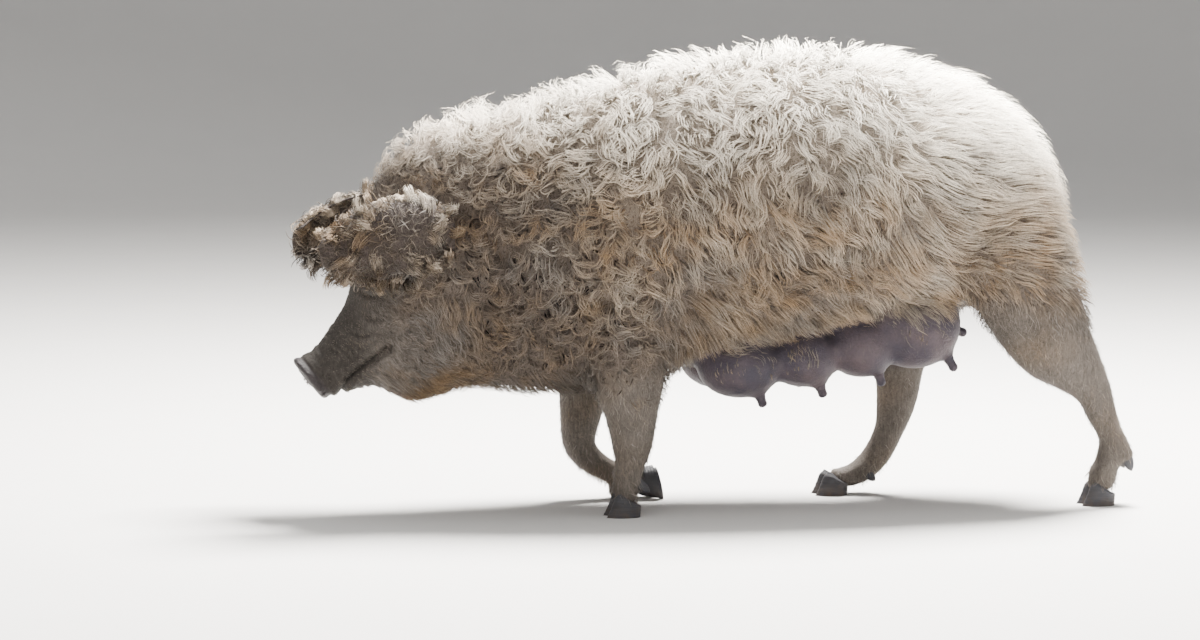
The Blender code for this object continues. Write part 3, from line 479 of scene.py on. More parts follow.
def trunk_rings():
    """The bare trunk, neck and head as rings through the ribs, and the depth of coat over each point of them.

    Each ring is an oval, sagged by a share of its cosine, set in from the ribs by the depth of the coat, which is
    less along the belly and throat.
    """
    rows = curve_rows(list(RIBS.values()), RIB_STEPS)
    top = np.column_stack([rows[:, 0], np.zeros(len(rows)), rows[:, 1]])
    bottom = np.column_stack([rows[:, 2], np.zeros(len(rows)), rows[:, 3]])
    angle = np.linspace(0, 2 * math.pi, AROUND, endpoint=False)
    rise = np.cos(angle)[None, :, None]
    side = (np.sin(angle) * (1 - SAG * np.cos(angle)))[None, :, None]
    middle, half = (top + bottom) / 2, (top - bottom) / 2
    rings = middle[:, None] + half[:, None] * rise
    rings = rings + np.array([0.0, -1.0, 0.0]) * side * rows[:, 4][:, None, None]
    along = np.gradient(rings, axis=0)
    outward = unit(np.cross(along, np.roll(rings, -1, axis=1) - np.roll(rings, 1, axis=1)))
    if np.sum(outward * (rings - middle[:, None])) < 0:
        outward = -outward
    depths = rows[:, 5][:, None] * (1 - UNDERSIDE_THINNER * ease(-rise[..., 0], 0.45, 0.95))
    return rings - outward * depths[..., None], depths


def limb_rings(name):
    """One bare leg as rings through its stations, set in by the depth of its coat, which grows with height."""
    rows = curve_rows(LIMBS[name], RIB_STEPS)
    low, high = LIMB_COAT["front" if "front" in name else "hind"]
    bare = SHORT_COAT + np.clip((rows[:, 1] - low) / (high - low), 0, 1) * (LIMB_DEPTH - SHORT_COAT)
    rows[:, 3:5] -= bare[:, None]
    path = np.column_stack([rows[:, 0], rows[:, 2], rows[:, 1]])
    return round_rings(path, rows[:, 3:5], SIDEWAYS, 40)


def udder_parts():
    """The lobes of the udder, the bag between its two rows and a cone under each teat."""
    parts = [ball((x, side * out, z), radii) for x, z, out, *radii in LOBES for side in (-1, 1)]
    spine = [(x, 0.0, z + UDDER_MIDDLE_RISE) for x, z, *_ in LOBES]
    radii = [(rz, UDDER_MIDDLE_HALF_WIDTH) for *_, rz in LOBES]
    parts.append(tube(round_rings(spine, radii, SIDEWAYS, 32)))
    t = np.linspace(0, 1, 8)
    for root, tip in teat_lines():
        path = root + (tip - root) * (MOUND_REACH * t[:, None])
        parts.append(tube(round_rings(path, MOUND_RADIUS * (1 - MOUND_TAPER * t**0.9), NEAR_SIDEWAYS)))
    return parts


def teat_lines():
    """Root and tip of each teat on both sides."""
    for (x0, z0, y0), (x1, z1, y1) in TEATS:
        for side in (-1, 1):
            yield np.array([x0, side * y0, z0]), np.array([x1, side * y1, z1])


def dewclaw_line(foot, side):
    """Root, tip and radius of a dewclaw in the frame of its foot."""
    x0, z0, x1, z1, radius = DEWCLAWS[foot]
    return np.array([x0, side * DEWCLAW_ROOT_SPREAD, z0]), np.array([x1, side * DEWCLAW_SPREAD, z1]), radius


def foot_parts():
    """Skin over the top of each pair of claws, and a sleeve of skin round the root of each dewclaw."""
    parts = []
    share = np.linspace(0, 1, 5)
    for foot in FEET:
        if foot in CUFF_TOPS:
            heights = CUFF_TOPS[foot] + (CUFF_BOTTOM - CUFF_TOPS[foot]) * share
            path = np.column_stack([np.full(5, CUFF_FORWARD), np.zeros(5), heights])
            rings = round_rings(path, np.linspace(*CUFF_RADII, 5), SIDEWAYS, 28)
            drop, slope, level = CUFF_DROP
            rings[..., 2] -= share[:, None] * (drop + slope * (rings[..., 0] - level))
            parts.append(tube(foot_place(rings, foot)))
        for side in (-1, 1):
            root, tip, radius = dewclaw_line(foot, side)
            start, inward = (-0.55, 0.010) if foot in CUFF_TOPS else (-0.10, 0.0)
            t = np.linspace(start, DEWCLAW_COVERED.get(foot, 0.50), 8)
            path = root + (tip - root) * t[:, None] - np.outer(0.5 - t, [inward, 0.0, 0.0])
            radii = radius * (1.30 + 0.20 * bell(t, 0.0, 0.3))
            rings = round_rings(path, np.column_stack([radii, radii * 0.9]), NEAR_SIDEWAYS)
            parts.append(tube(foot_place(rings, foot)))
    return parts


def refined(made, wanted):
    """The faces whose middle passes the test, cut in four."""
    work = bmesh.new()
    work.from_mesh(made.data)
    middles = np.array([face.calc_center_median() for face in work.faces])
    edges = {edge for face, yes in zip(work.faces, wanted(middles)) if yes for edge in face.edges}
    bmesh.ops.subdivide_edges(work, edges=list(edges), cuts=1, use_grid_fill=True)
    work.to_mesh(made.data)
    work.free()


def line_distance(points, line):
    """Distance to a polyline in the x-z plane, the share along it, and the side of it a point lies on."""
    best = np.full(len(points), 1e9)
    share = np.zeros(len(points))
    above = np.zeros(len(points))
    flat = points[:, [0, 2]]
    count = len(line) - 1
    for k, (a, b) in enumerate(zip(line, line[1:])):
        run = b - a
        t = np.clip((flat - a) @ run / (run @ run), 0, 1)
        gap = flat - (a + t[:, None] * run)
        far = np.linalg.norm(gap, axis=1)
        near = far < best
        best = np.where(near, far, best)
        share = np.where(near, (k + t) / count, share)
        above = np.where(near, np.sign(run[0] * gap[:, 1] - run[1] * gap[:, 0]), above)
    return best, share, above


def drift(points, wavelength, salt):
    """A smooth random number over space, about -1 to 1: the sum of eight waves of random direction and phase."""
    random = np.random.default_rng(SEED + salt)
    ways = unit(random.normal(size=(8, 3))) * (2 * math.pi / wavelength) * random.uniform(0.7, 1.4, (8, 1))
    return np.sin(points @ ways.T + random.uniform(0, 2 * math.pi, 8)).sum(axis=1) / 2.8


def snout_place(points):
    """How far each point is ahead of the snout's disc, and how far from the nearer nostril, in its radii."""
    top, bottom = np.array(RIBS["disc"][0:2]), np.array(RIBS["disc"][2:4])
    upward = unit(top - bottom)
    gap = points[:, [0, 2]] - (top + bottom) / 2
    ahead, rise = gap @ np.array([-upward[1], upward[0]]), gap @ upward
    wide, high = NOSTRIL_RADII
    return ahead, np.hypot((np.abs(points[:, 1]) - NOSTRIL_SPREAD) / wide, (rise - NOSTRIL_RISE) / high)


def sculpted(points, eyes):
    """How far each point of the head is raised along its normal: mouth, lips, nostrils, creases and lids."""
    raised = np.zeros(len(points))
    x, y, z = points.T
    line = curve_rows(MOUTH_LINE, 6)
    far, share, above = line_distance(points, line)
    mouth = ease(-x, 0.570, 0.595)
    wide = 0.0040 + 0.0030 * ease(share, 0.45, 0.95)
    raised += mouth * (-0.0030 - 0.0065 * share) * bell(far, 0, wide)
    raised += mouth * 0.0045 * bell(far, 0.014, 0.009) * (above > 0)
    raised += mouth * 0.0035 * bell(far, 0.012, 0.007) * (above < 0)
    for (x0, z0), height, wide in ((MOUTH_CORNER, -0.006, 0.010), (MOUTH_CORNER_SWELL, 0.004, 0.018)):
        raised += height * bell(np.hypot(x - x0, z - z0), 0, wide) * (np.abs(y) > 0.03)
    ahead, pit = snout_place(points)
    disc = ease(ahead, -0.010, -0.003)
    raised += disc * (-NOSTRIL_DEPTH * np.exp(-(pit**3)) + 0.0018 * bell(pit, 1.5, 0.35))
    raised += 0.0036 * bell(ahead, -0.002, 0.0045) * ease(-x, 0.66, 0.70)
    raised += -0.0022 * bell(ahead, -0.0135, 0.0035) * ease(-x, 0.66, 0.69)
    wander = drift(points, 0.05, 40)
    creases = np.sin((ahead + 0.004 * wander) * 2 * math.pi / 0.0150 + 8 * np.abs(y))
    creases = creases * (0.4 + 0.6 * drift(points, 0.035, 41))
    raised += 0.0017 * creases * ease(-ahead, 0.018, 0.03) * fade(-ahead, 0.07, 0.12)
    for fold in FACE_FOLDS:
        gap, run, _ = line_distance(points, curve_rows(fold, 6))
        crease = -0.0022 * bell(gap, 0, 0.0035) + 0.0016 * bell(gap, 0.0085, 0.005)
        raised += crease * np.sin(math.pi * np.clip(run, 0.02, 0.98)) * (np.abs(y) > 0.025)
    brow = ease(z, 0.43, 0.47) * fade(z, 0.53, 0.58) * (x < -0.58)
    raised += brow * (0.0016 * bell(np.abs(y), 0.0, 0.008) - 0.0022 * bell(np.abs(y), 0.014, 0.005))
    for eye, normal in eyes.values():
        forward = unit(np.cross([0, 0, 1.0], normal))
        up = np.cross(normal, forward)
        gap = points - eye
        a, b = gap @ forward, gap @ up
        near = (np.linalg.norm(gap, axis=1) < 0.06) & (gap @ normal > -0.02)
        round_eye = np.hypot(a / LID_STRETCH[0], b / LID_STRETCH[1])
        lids = -0.0065 * np.exp(-((round_eye / LID_OPENING) ** 4)) + 0.0042 * bell(round_eye, 0.0145, 0.0032)
        lids += -0.0020 * bell(round_eye, 0.0215, 0.0030) + 0.0025 * bell(round_eye, 0.028, 0.005) * (b > 0)
        raised += near * lids
    return raised


def hollow_shade_share(points):
    """How much a place lies in a nostril, in the mouth or in a fold of the face: painted shade that darkens the skin's
    colour there.
    """
    ahead, pit = snout_place(points)
    far, share, _ = line_distance(points, curve_rows(MOUTH_LINE, 6))
    hollow_shade = [bell(pit, 0, 0.85) * ease(ahead, -0.030, -0.012), bell(far, 0, 0.0030) * ease(share, 0.0, 0.3)]
    for fold in FACE_FOLDS:
        gap, run, _ = line_distance(points, curve_rows(fold, 6))
        hollow_shade.append(0.6 * bell(gap, 0, 0.003) * np.sin(math.pi * run))
    return np.max(hollow_shade, axis=0) * (points[:, 0] < -0.57)


def grown_skin():
    """The one skin over trunk, head, legs and udder, with its face sculpted, and where the eyes sit."""
    parts = [tube(trunk_rings()[0])] + [tube(limb_rings(name)) for name in LIMBS] + udder_parts() + foot_parts()
    skin = mesh_object("skin", *joined(parts))
    remesh = skin.modifiers.new("Melt", "REMESH")
    remesh.mode = "VOXEL"
    remesh.voxel_size = SKIN_VOXEL
    apply_modifiers(skin)
    # The legs and teats keep their shape: they get only the first rounds of evening out
    smoothed(skin, SKIN_SMOOTHING[0])
    sharp, _ = vertices_of(skin.data)
    smoothed(skin, SKIN_SMOOTHING[1])
    soft, _ = vertices_of(skin.data)
    keep = np.maximum(fade(sharp[:, 2], 0.20, 0.30), bare_belly(sharp))[:, None]
    blended = soft + (sharp - soft) * keep
    blended[:, 2] = np.maximum(blended[:, 2], 0.001)
    move_vertices(skin.data, blended)
    refined(skin, lambda m: m[:, 0] < -0.50)
    smoothed(skin, 2)
    surface = Surface(skin.data)
    eyes = {word: surface.from_side(*EYE, side) for side, word in SIDES}

    def close_up(m):
        """The snout, the surroundings of the eyes and the mouth."""
        near = [np.linalg.norm(m - eye, axis=1) < EYE_SURROUNDINGS for eye, _ in eyes.values()]
        mouth = (m[:, 0] < -0.585) & (m[:, 2] < 0.33)
        return (m[:, 0] < -0.660) | near[0] | near[1] | mouth

    refined(skin, close_up)
    smoothed(skin, 2)
    points, normals = vertices_of(skin.data)
    move_vertices(skin.data, points + normals * sculpted(points, eyes)[:, None])
    shade_smooth(skin.data)
    return skin, eyes


class Surface:
    """A mesh as ground for hair: nearest points with smooth normals, and random places on it."""

    def __init__(self, mesh):
        self.points, self.normals = vertices_of(mesh)
        mesh.calc_loop_triangles()
        self.corners = triples(mesh.loop_triangles, "vertices", np.int32)
        self.tree = BVHTree.FromPolygons(self.points.tolist(), self.corners.tolist())
        a, b, c = (self.points[self.corners[:, k]] for k in range(3))
        self.middles = (a + b + c) / 3
        self.areas = np.linalg.norm(np.cross(b - a, c - a), axis=1) / 2
        self.face_normals = unit(self.normals[self.corners].sum(axis=1))

    def nearest(self, points):
        """The nearest points of the surface and its normals there."""
        found = [self.tree.find_nearest(point) for point in np.asarray(points).tolist()]
        return np.array([hit[0] for hit in found]), self.face_normals[[hit[2] for hit in found]]

    def from_side(self, x, z, side):
        """The outermost point on one side over a point of the middle plane, and the normal there."""
        hit, _, face, _ = self.tree.ray_cast(Vector((x, side * 3.0, z)), Vector((0.0, -side, 0.0)))
        return np.array(hit), self.face_normals[face]

    def scattered(self, count, weight, random):
        """Random places, as many to an area as the weight says, with their normals."""
        share = np.cumsum(self.areas * weight)
        face = np.searchsorted(share, random.uniform(0, share[-1], count))
        a, b = random.uniform(0, 1, (2, count))
        over = a + b > 1
        a, b = np.where(over, 1 - a, a), np.where(over, 1 - b, b)
        bary = np.stack([1 - a - b, a, b], axis=1)[..., None]
        places = np.sum(self.points[self.corners[face]] * bary, axis=1)
        return places, unit(np.sum(self.normals[self.corners[face]] * bary, axis=1))


class Coat:
    """What the coat is like at a place: its depth, its place on the unwrap of the skin, and if it is on a leg."""

    def __init__(self):
        rings, depths = trunk_rings()
        self.depths = depths.ravel()
        self.runs = np.repeat(np.linspace(0, 1, len(rings)), AROUND)
        self.turns = np.tile(np.linspace(0, 1, AROUND, endpoint=False), len(rings))
        self.tree = nearest_tree(rings.reshape(-1, 3))

    def read(self, points):
        """Depth of the coat, how far it is along the trunk and round it, and how much it is on a leg."""
        found = [self.tree.find(point) for point in np.asarray(points).tolist()]
        index = np.array([f[1] for f in found])
        away = np.array([f[2] for f in found])
        z = points[:, 2]
        hind = ease(points[:, 0], 0.05, 0.25)
        low, high = (front * (1 - hind) + rear * hind for front, rear in zip(LIMB_COAT["front"], LIMB_COAT["hind"]))
        leg = ease(away, 0.012, 0.045) * ease(-z, -0.47, -0.32)
        thicker = np.clip((z - low + LEG_FRINGE) / (high - low + LEG_FRINGE), 0, 1) ** 1.5
        leg_depth = SHORT_COAT * 1.6 + thicker * (LIMB_DEPTH - SHORT_COAT)
        depth = self.depths[index] * (1 - leg) + leg_depth * leg
        depth = depth * (1 - 0.75 * bare_belly(points)) * (1 - 0.7 * neck_folds(points))
        return depth, self.runs[index], self.turns[index], leg


def bare_belly(points):
    """How bare the belly is between and round the lobes of the udder."""
    x, y, z = points.T
    low = fade(z, 0.315 + 0.10 * np.clip(x, 0, 0.5), 0.36 + 0.10 * np.clip(x, 0, 0.5))
    return low * ease(x, -0.10, -0.04) * fade(x, 0.42, 0.47) * fade(np.abs(y), 0.105, 0.145)


def udder_fringe(points):
    """How much a place is in the strip of coat that hangs over the top of the udder."""
    x, y, z = points.T
    strip = bell(z, 0.345 + 0.10 * np.clip(x, 0, 0.5), 0.022) * ease(np.abs(y), 0.08, 0.12)
    return strip * ease(x, -0.12, -0.04) * fade(x, 0.36, 0.44)


def neck_folds(points):
    """How much a place is in one of the two folds behind each ear, where the coat parts."""
    folds = [line_distance(points, np.array(line))[0] for line in NECK_FOLDS]
    return np.max([bell(far, 0, 0.010) for far in folds], axis=0) * ease(np.abs(points[:, 1]), 0.03, 0.08)


def muzzle_share(points):
    """How much a place is on the dark muzzle."""
    return ease(-points[:, 0], 0.56, 0.66) * fade(points[:, 2], 0.42, 0.50)


def udder_share(points):
    """How much a point belongs to the udder, by how deep it lies in the lobes."""
    share = np.zeros(len(points))
    for x, z, out, rx, ry, rz in LOBES:
        for side in (-1, 1):
            gap = (points - [x, side * out, z]) / [rx, ry, rz]
            share = np.maximum(share, fade(np.linalg.norm(gap, axis=1), 1.02, 1.22))
    return share * fade(points[:, 2], 0.33, 0.40)


def markings_and_top_light(points):
    """The same markings for skin and coat: how pale, how tan and how dark the hair is at each place, with painted
    sunlight making the top of the back and neck paler.
    """
    x, _, z = points.T
    high = ease(z, 0.50, 0.79)
    rear = ease(x, 0.05, 0.50)
    front = ease(-x, 0.20, 0.46)
    face = ease(-x, 0.56, 0.64) * fade(z, 0.44, 0.54)
    leg = fade(z, 0.20 + 0.12 * rear, 0.34 + 0.10 * rear)
    patch = drift(points, 0.16, 30)
    # Paler towards the top: partly the coat's own paler top, partly painted sunlight on the back
    pale = 0.12 + 0.80 * high + 0.34 * rear * ease(z, 0.42, 0.66) - 0.22 * front * (1 - high) - 0.34 * leg
    low_flank = fade(z, 0.34, 0.62) * (1 - leg) * (1 - 0.6 * rear)
    jowl = bell(x, -0.50, 0.10) * fade(z, 0.20, 0.33)
    tan = 0.32 + 0.08 * low_flank + 1.0 * jowl - 0.14 * high - 0.34 * leg - 0.6 * face - 0.10 * front + 0.20 * patch
    # The dark of the front fades out upwards, which paints the top of the neck as sunlit
    dark = front * fade(z, 0.54, 0.70) * 0.52 + 0.95 * leg + 0.80 * low_flank - 0.1 * jowl + 0.6 * face
    return np.clip(pale + 0.07 * patch, 0, 1), np.clip(tan, 0, 1), np.clip(dark, 0, 1)


# Hair


def hair_mesh(name, paths, across, widths, shades, roots_uv, material, flat=0.6, ups=None, softness=SOFTNESS):
    """Hairs as closed three-sided tapered rods along paths.

    Each ring stands square to its path, widest along `across` and `flat` times as thick; the last point is the tip.
    Where `ups` gives the skin's own normals, the shading leans to them, so that the coat looks soft.
    """
    count, steps = paths.shape[:2]
    t = np.linspace(0, 1, steps)
    along = unit(np.gradient(paths, axis=1))
    across = unit(off(across, along))
    third = np.cross(along, across)
    shape = (0.55 + 0.45 * np.minimum(t / 0.25, 1)) * (1 - 0.72 * t**2)
    size = widths[:, None] * shape[None, :] / 2
    angle = np.radians([90.0, 210.0, 330.0])
    rings = paths[:, :-1, None] + (
        across[:, :-1, None] * (np.cos(angle)[:, None] * size[:, :-1, None, None])
        + third[:, :-1, None] * (np.sin(angle)[:, None] * size[:, :-1, None, None] * flat)
    )
    points = np.concatenate([rings.reshape(count, -1, 3), paths[:, -1:]], axis=1)
    per = points.shape[1]
    ring = np.arange(3)
    turned = (ring + 1) % 3
    triangles = [(0, 2, 1)]
    for r in range(steps - 2):
        for a, b in zip(ring, turned):
            triangles += [(r * 3 + a, r * 3 + b, r * 3 + b + 3), (r * 3 + a, r * 3 + b + 3, r * 3 + a + 3)]
    last = (steps - 2) * 3
    triangles += [(last + a, last + b, last + 3) for a, b in zip(ring, turned)]
    triangles = np.array(triangles, np.int32)
    faces = (triangles[None] + (np.arange(count) * per)[:, None, None]).reshape(-1)
    mesh = bpy.data.meshes.new(name)
    mesh.vertices.add(count * per)
    mesh.vertices.foreach_set("co", points.astype(np.float32).ravel())
    mesh.loops.add(len(faces))
    mesh.loops.foreach_set("vertex_index", faces.astype(np.int32))
    mesh.polygons.add(len(faces) // 3)
    mesh.polygons.foreach_set("loop_start", np.arange(0, len(faces), 3, dtype=np.int32))
    shade_smooth(mesh)
    mesh.update(calc_edges=True)
    run = np.concatenate([np.repeat(t[:-1], 3), [1.0]])
    # Strands are painted over the width of a hair, in millimetres from a start of its own
    beside = np.concatenate([np.tile([0.5, 0.0, 1.0], steps - 1), [0.5]])
    start = (np.arange(count) * 7.31) % 97.0
    set_numbers(mesh, {
        "along": np.tile(run, count),
        "strand": (beside[None] * widths[:, None] * 1000 + start[:, None]).ravel(),
        **{word: np.repeat(values, per) for word, values in shades.items()},
    })
    # Each hair is a patch at its root's place: across it one way and along it the other
    patch = np.stack([np.concatenate([np.tile([0.0, 1.0, 0.5], steps - 1), [0.5]]), run], axis=1) - 0.5
    corner_uv = np.clip(roots_uv[:, None] + patch[None] * PATCH, 0.0, 1.0).reshape(-1, 2)[faces]
    layer = mesh.uv_layers.new(name="OFBake")
    layer.data.foreach_set("uv", corner_uv.astype(np.float32).ravel())
    mesh.materials.append(material)
    if ups is not None:
        facing = np.concatenate([np.repeat(ups[:, :-1], 3, axis=1), ups[:, -1:]], axis=1).reshape(-1, 3)
        _, own = vertices_of(mesh)
        mesh.normals_split_custom_set_from_vertices(unit(softness * facing + (1 - softness) * own).tolist())
    return scene_object(name, mesh)


def each_step(vectors, steps):
    """One vector for each hair, repeated for every point along it."""
    return np.repeat(vectors[:, None], steps, axis=1)


def on_unwrap(run, turned):
    """Places on the unwrap of the skin, clear of its edges, from shares along the trunk and round it."""
    return np.column_stack([0.01 + 0.98 * run, 0.01 + 0.98 * turned])


def picked(numbers, some):
    """The numbers of some of the hairs."""
    return {word: values[some] for word, values in numbers.items()}


def lie_of(points, normals, leg):
    """The way hair lies: back along the trunk, turned down by the place's own angle, and down the legs."""
    x, y, z = points.T
    backward = unit(np.array([1.0, 0.0, 0.0]) - normals * normals[:, :1])
    down = np.array([0.0, 0.0, -1.0]) + normals * normals[:, 2:3]
    sideways = np.column_stack([np.zeros(len(points)), np.where(y < 0, -1.0, 1.0), np.zeros(len(points))])
    down = unit(down + 0.15 * off(sideways, normals))
    rear = ease(x, 0.20, 0.42)
    head = ease(-x, 0.48, 0.58)
    low = fade(z, 0.36, 0.50) * ease(x, -0.16, -0.02)
    angle = 1.42 * (1 - rear) + 0.16 * rear
    throat = fade(z, 0.25, 0.32) * ease(-x, 0.18, 0.28)
    angle = angle * (1 - low - throat) + (0.36 + 0.40 * fade(z, 0.29, 0.36)) * low + 0.40 * throat
    angle = angle + 0.50 * udder_fringe(points)
    angle = angle + 0.45 * (1 - rear) * (1 - low) * drift(points, 0.15, 31)
    angle = angle * (1 - head) + 0.55 * head
    angle = angle * (1 - leg) + 1.40 * leg + 0.12 * drift(points, 0.12, 32)
    return unit(towards(backward, down, angle))


def guide_paths(surface, roots, normals, lie, length, turn, wave, cycles, phase, steps):
    """Guides combed over the skin: the direction turns by `turn` and swings by `wave` as it goes.

    Each step goes on along the direction and drops back to the skin, so that a guide follows the body.
    Gives the points on the skin, the normals and the directions.
    """
    spots, ups, ways = [roots], [normals], []
    for k in range(steps):
        t = k / (steps - 1)
        swing = turn * t + wave * np.sin(2 * math.pi * cycles * t + phase)
        spot, up = spots[-1], ups[-1]
        level = unit(off(lie, up))
        way = towards(level, np.cross(up, level), swing)
        ways.append(way)
        if k < steps - 1:
            spot, up = surface.nearest(spot + way * (length / (steps - 1))[:, None])
            spots.append(spot)
            ups.append(up)
    return np.stack(spots, axis=1), np.stack(ups, axis=1), np.stack(ways, axis=1)


def cheek_share(points):
    """How much a place is on the cheek or jaw, where the hair of the face is longest."""
    x, y, z = points.T
    return ease(x, -0.635, -0.575) * fade(x, -0.46, -0.42) * fade(z, 0.37, 0.45) * ease(np.abs(y), 0.02, 0.05)


def hair_kind(points, leg):
    """Which kind of hair grows at each place: 0 curly, 1 wavy, 2 straight."""
    x, _, z = points.T
    straight = (x > 0.27 + 0.10 * ease(z, 0.45, 0.75)) | ((z < 0.40) & (x > -0.10)) | ((leg > 0.6) & (x > 0))
    straight |= (z < 0.268) & (x < -0.24)
    curly = (x < -0.14 - 0.10 * ease(z, 0.55, 0.75)) & (x > -0.59) & (cheek_share(points) < 0.5)
    return np.where(straight, 2, np.where(curly, 0, 1))


def by_kind(kind, ranges, random):
    """A random number for each hair, from the range of its kind."""
    return np.choose(kind, [random.uniform(low, high, len(kind)) for low, high in ranges])


def body_coat(surface, coat, random, material):
    """The coat of trunk, neck, cheeks and thighs: hairs gathered into locks round combed guides."""
    ground = surface.middles
    depth, _, _, leg = coat.read(ground)
    cheek = cheek_share(ground)
    high_udder = ease(ground[:, 2], 0.225, 0.300) * ease(np.abs(ground[:, 1]), 0.06, 0.10)
    weight = np.maximum(ease(depth, 0.006, 0.014), cheek)
    weight *= (1 - udder_share(ground) * (1 - 0.45 * high_udder)) * (1 + 1.1 * udder_fringe(ground))
    weight *= 1 + 0.8 * cheek
    kinds = hair_kind(ground, leg)
    curly_place = kinds == KIND_NUMBERS["curly"]
    roots, normals = surface.scattered(BODY_GUIDES, weight * np.where(curly_place, 1.9, 1.0), random)
    depth, _, _, leg = coat.read(roots)
    kind = hair_kind(roots, leg)
    count = len(roots)
    sign = np.where(random.uniform(size=count) < 0.5, -1.0, 1.0)
    cheek = cheek_share(roots)
    depth = np.maximum(depth, 0.011 * cheek)
    shorter = 1 - 0.45 * leg * fade(roots[:, 2], 0.30, 0.46)
    length = (0.009 + np.choose(kind, GUIDE_REACHES) * depth + 0.016 * cheek) * shorter
    length += 0.024 * udder_fringe(roots)
    length *= random.uniform(0.70, 1.25, count)
    turn = by_kind(kind, GUIDE_TURNS, random) * (1 - 0.55 * cheek)
    turn *= (1 - 0.35 * ease(roots[:, 0], -0.42, -0.26)) * (1 - 0.45 * ease(roots[:, 2], 0.60, 0.72))
    wave = by_kind(kind, GUIDE_SWINGS, random)
    cycles = random.uniform(0.8, 1.4, count)
    phase = random.uniform(0, 2 * math.pi, count)
    lie = lie_of(roots, normals, leg)
    stray = random.normal(0, 1, count) * np.choose(kind, GUIDE_STRAYS)
    lie = towards(lie, np.cross(normals, lie), stray)
    lift = random.uniform(0.82, 1.04, count) * (1 + 0.06 * drift(roots, 0.07, 33))
    lift = 0.96 + (lift - 0.96) * (1 - 0.6 * ease(roots[:, 2], 0.68, 0.78))
    lift *= 1 - 0.35 * leg * fade(roots[:, 2], 0.26, 0.40)

    tree = nearest_tree(roots)
    pieces = []
    for word, plan in HAIR_KINDS.items():
        own = kinds == KIND_NUMBERS[word] if word in KIND_NUMBERS else np.where(curly_place, 1.6, 1.0)
        places, _ = surface.scattered(plan[1], weight * own, random)
        guide = np.array([tree.find(point)[1] for point in places.tolist()])
        used = np.unique(guide)
        combed = guide_paths(
            surface, *(part[used] for part in (roots, normals, lie, length, sign * turn, wave, cycles, phase)), plan[0]
        )
        g = np.searchsorted(used, guide)
        combed = [part[g] for part in combed]
        pieces += lay_hairs(word, plan, places, guide, combed, (depth * lift)[guide], coat, random, material)
    return pieces


def lay_hairs(word, plan, places, guide, combed, height, coat, random, material):
    """Hairs of one kind set round their guides, as meshes of a size that the export takes.

    Each hair keeps its place beside its guide, drawn in towards it as it runs out, and rises quickly to its
    own share of the coat's depth.
    """
    steps, n, width, gather, swing, layers = plan
    spots, ups, ways = combed
    t = np.linspace(0, 1, steps)
    sides = np.cross(ups, ways)
    offset = places - spots[:, 0]
    on, across = dot(offset, ways[:, 0]), dot(offset, sides[:, 0])
    loose = gather * (1 - 0.65 * ease(places[:, 2], 0.62, 0.78))
    spread = 1 - loose[:, None, None] * ease(t, 0.1, 1.0)[None, :, None]
    layer = layers[0] + (layers[1] - layers[0]) * random.uniform(0, 1, n) ** 0.7
    fly = (random.uniform(size=n) < 0.10) & (word != "under")
    layer = np.where(fly, random.uniform(1.0, 1.14, n), layer)
    rise = (1 - (1 - t) ** 2.4)[None] * (height * layer)[:, None] - 0.004 * (1 - t[None]) ** 3
    paths = spots + (ways * on[:, None] + sides * across[:, None]) * spread + ups * rise[..., None]
    locks = np.random.default_rng(SEED + 2).uniform(0, 1, (BODY_GUIDES, 2))[guide]
    turns = (1.0 + 0.8 * locks[:, :1]) * t + locks[:, 1:] + random.normal(0, 0.10, (n, 1))
    sway = random.uniform(0.5, 1.0, (n, 1)) * swing * np.sin(2 * math.pi * turns) * np.sqrt(t)
    paths = cut_short(paths + sides * sway[..., None], random.uniform(0.58, 1.0, n))
    widths = width * random.uniform(0.75, 1.25, n) * (0.7 + 0.3 * np.minimum(height / 0.04, 1))
    widths *= np.where(fly, 0.6, 1.0)
    _, run, turned, _ = coat.read(places)
    pale, tan, dark = markings_and_top_light(places)
    udder = udder_share(places)
    pale, tan, dark = pale + 0.05 * udder, tan * (1 - 0.7 * udder), dark * (1 - 0.10 * udder)
    clump = np.random.default_rng(SEED + 1).uniform(0, 1, BODY_GUIDES)[guide]
    shade = 0.35 * clump + 0.65 * random.uniform(0, 1, n)
    # Painted shade: the lower a hair lies in the coat, the darker it is painted
    numbers = {"shade": shade, "pale": pale, "tan": tan, "dark": dark, "deep": 1 - layer}
    uv, flat = on_unwrap(run, turned), 0.3 if word == "under" else 0.6
    chunks = math.ceil(n * (6 * (steps - 2) + 4) / COAT_TRIANGLES)
    pieces = []
    for k, some in enumerate(np.array_split(np.argsort(places[:, 0]), chunks)):
        parts = (paths[some], sides[some], widths[some], picked(numbers, some), uv[some])
        pieces.append(hair_mesh(f"coat_{word}_{k + 1}", *parts, material, flat, ups[some]))
    return pieces


def cut_short(paths, share):
    """Each path read again over only its first share, by straight lines between its points."""
    n, steps = paths.shape[:2]
    at = np.linspace(0, 1, steps)[None, :] * share[:, None] * (steps - 1)
    low = np.minimum(at.astype(int), steps - 2)
    part = (at - low)[..., None]
    rows = np.arange(n)[:, None]
    return paths[rows, low] * (1 - part) + paths[rows, low + 1] * part


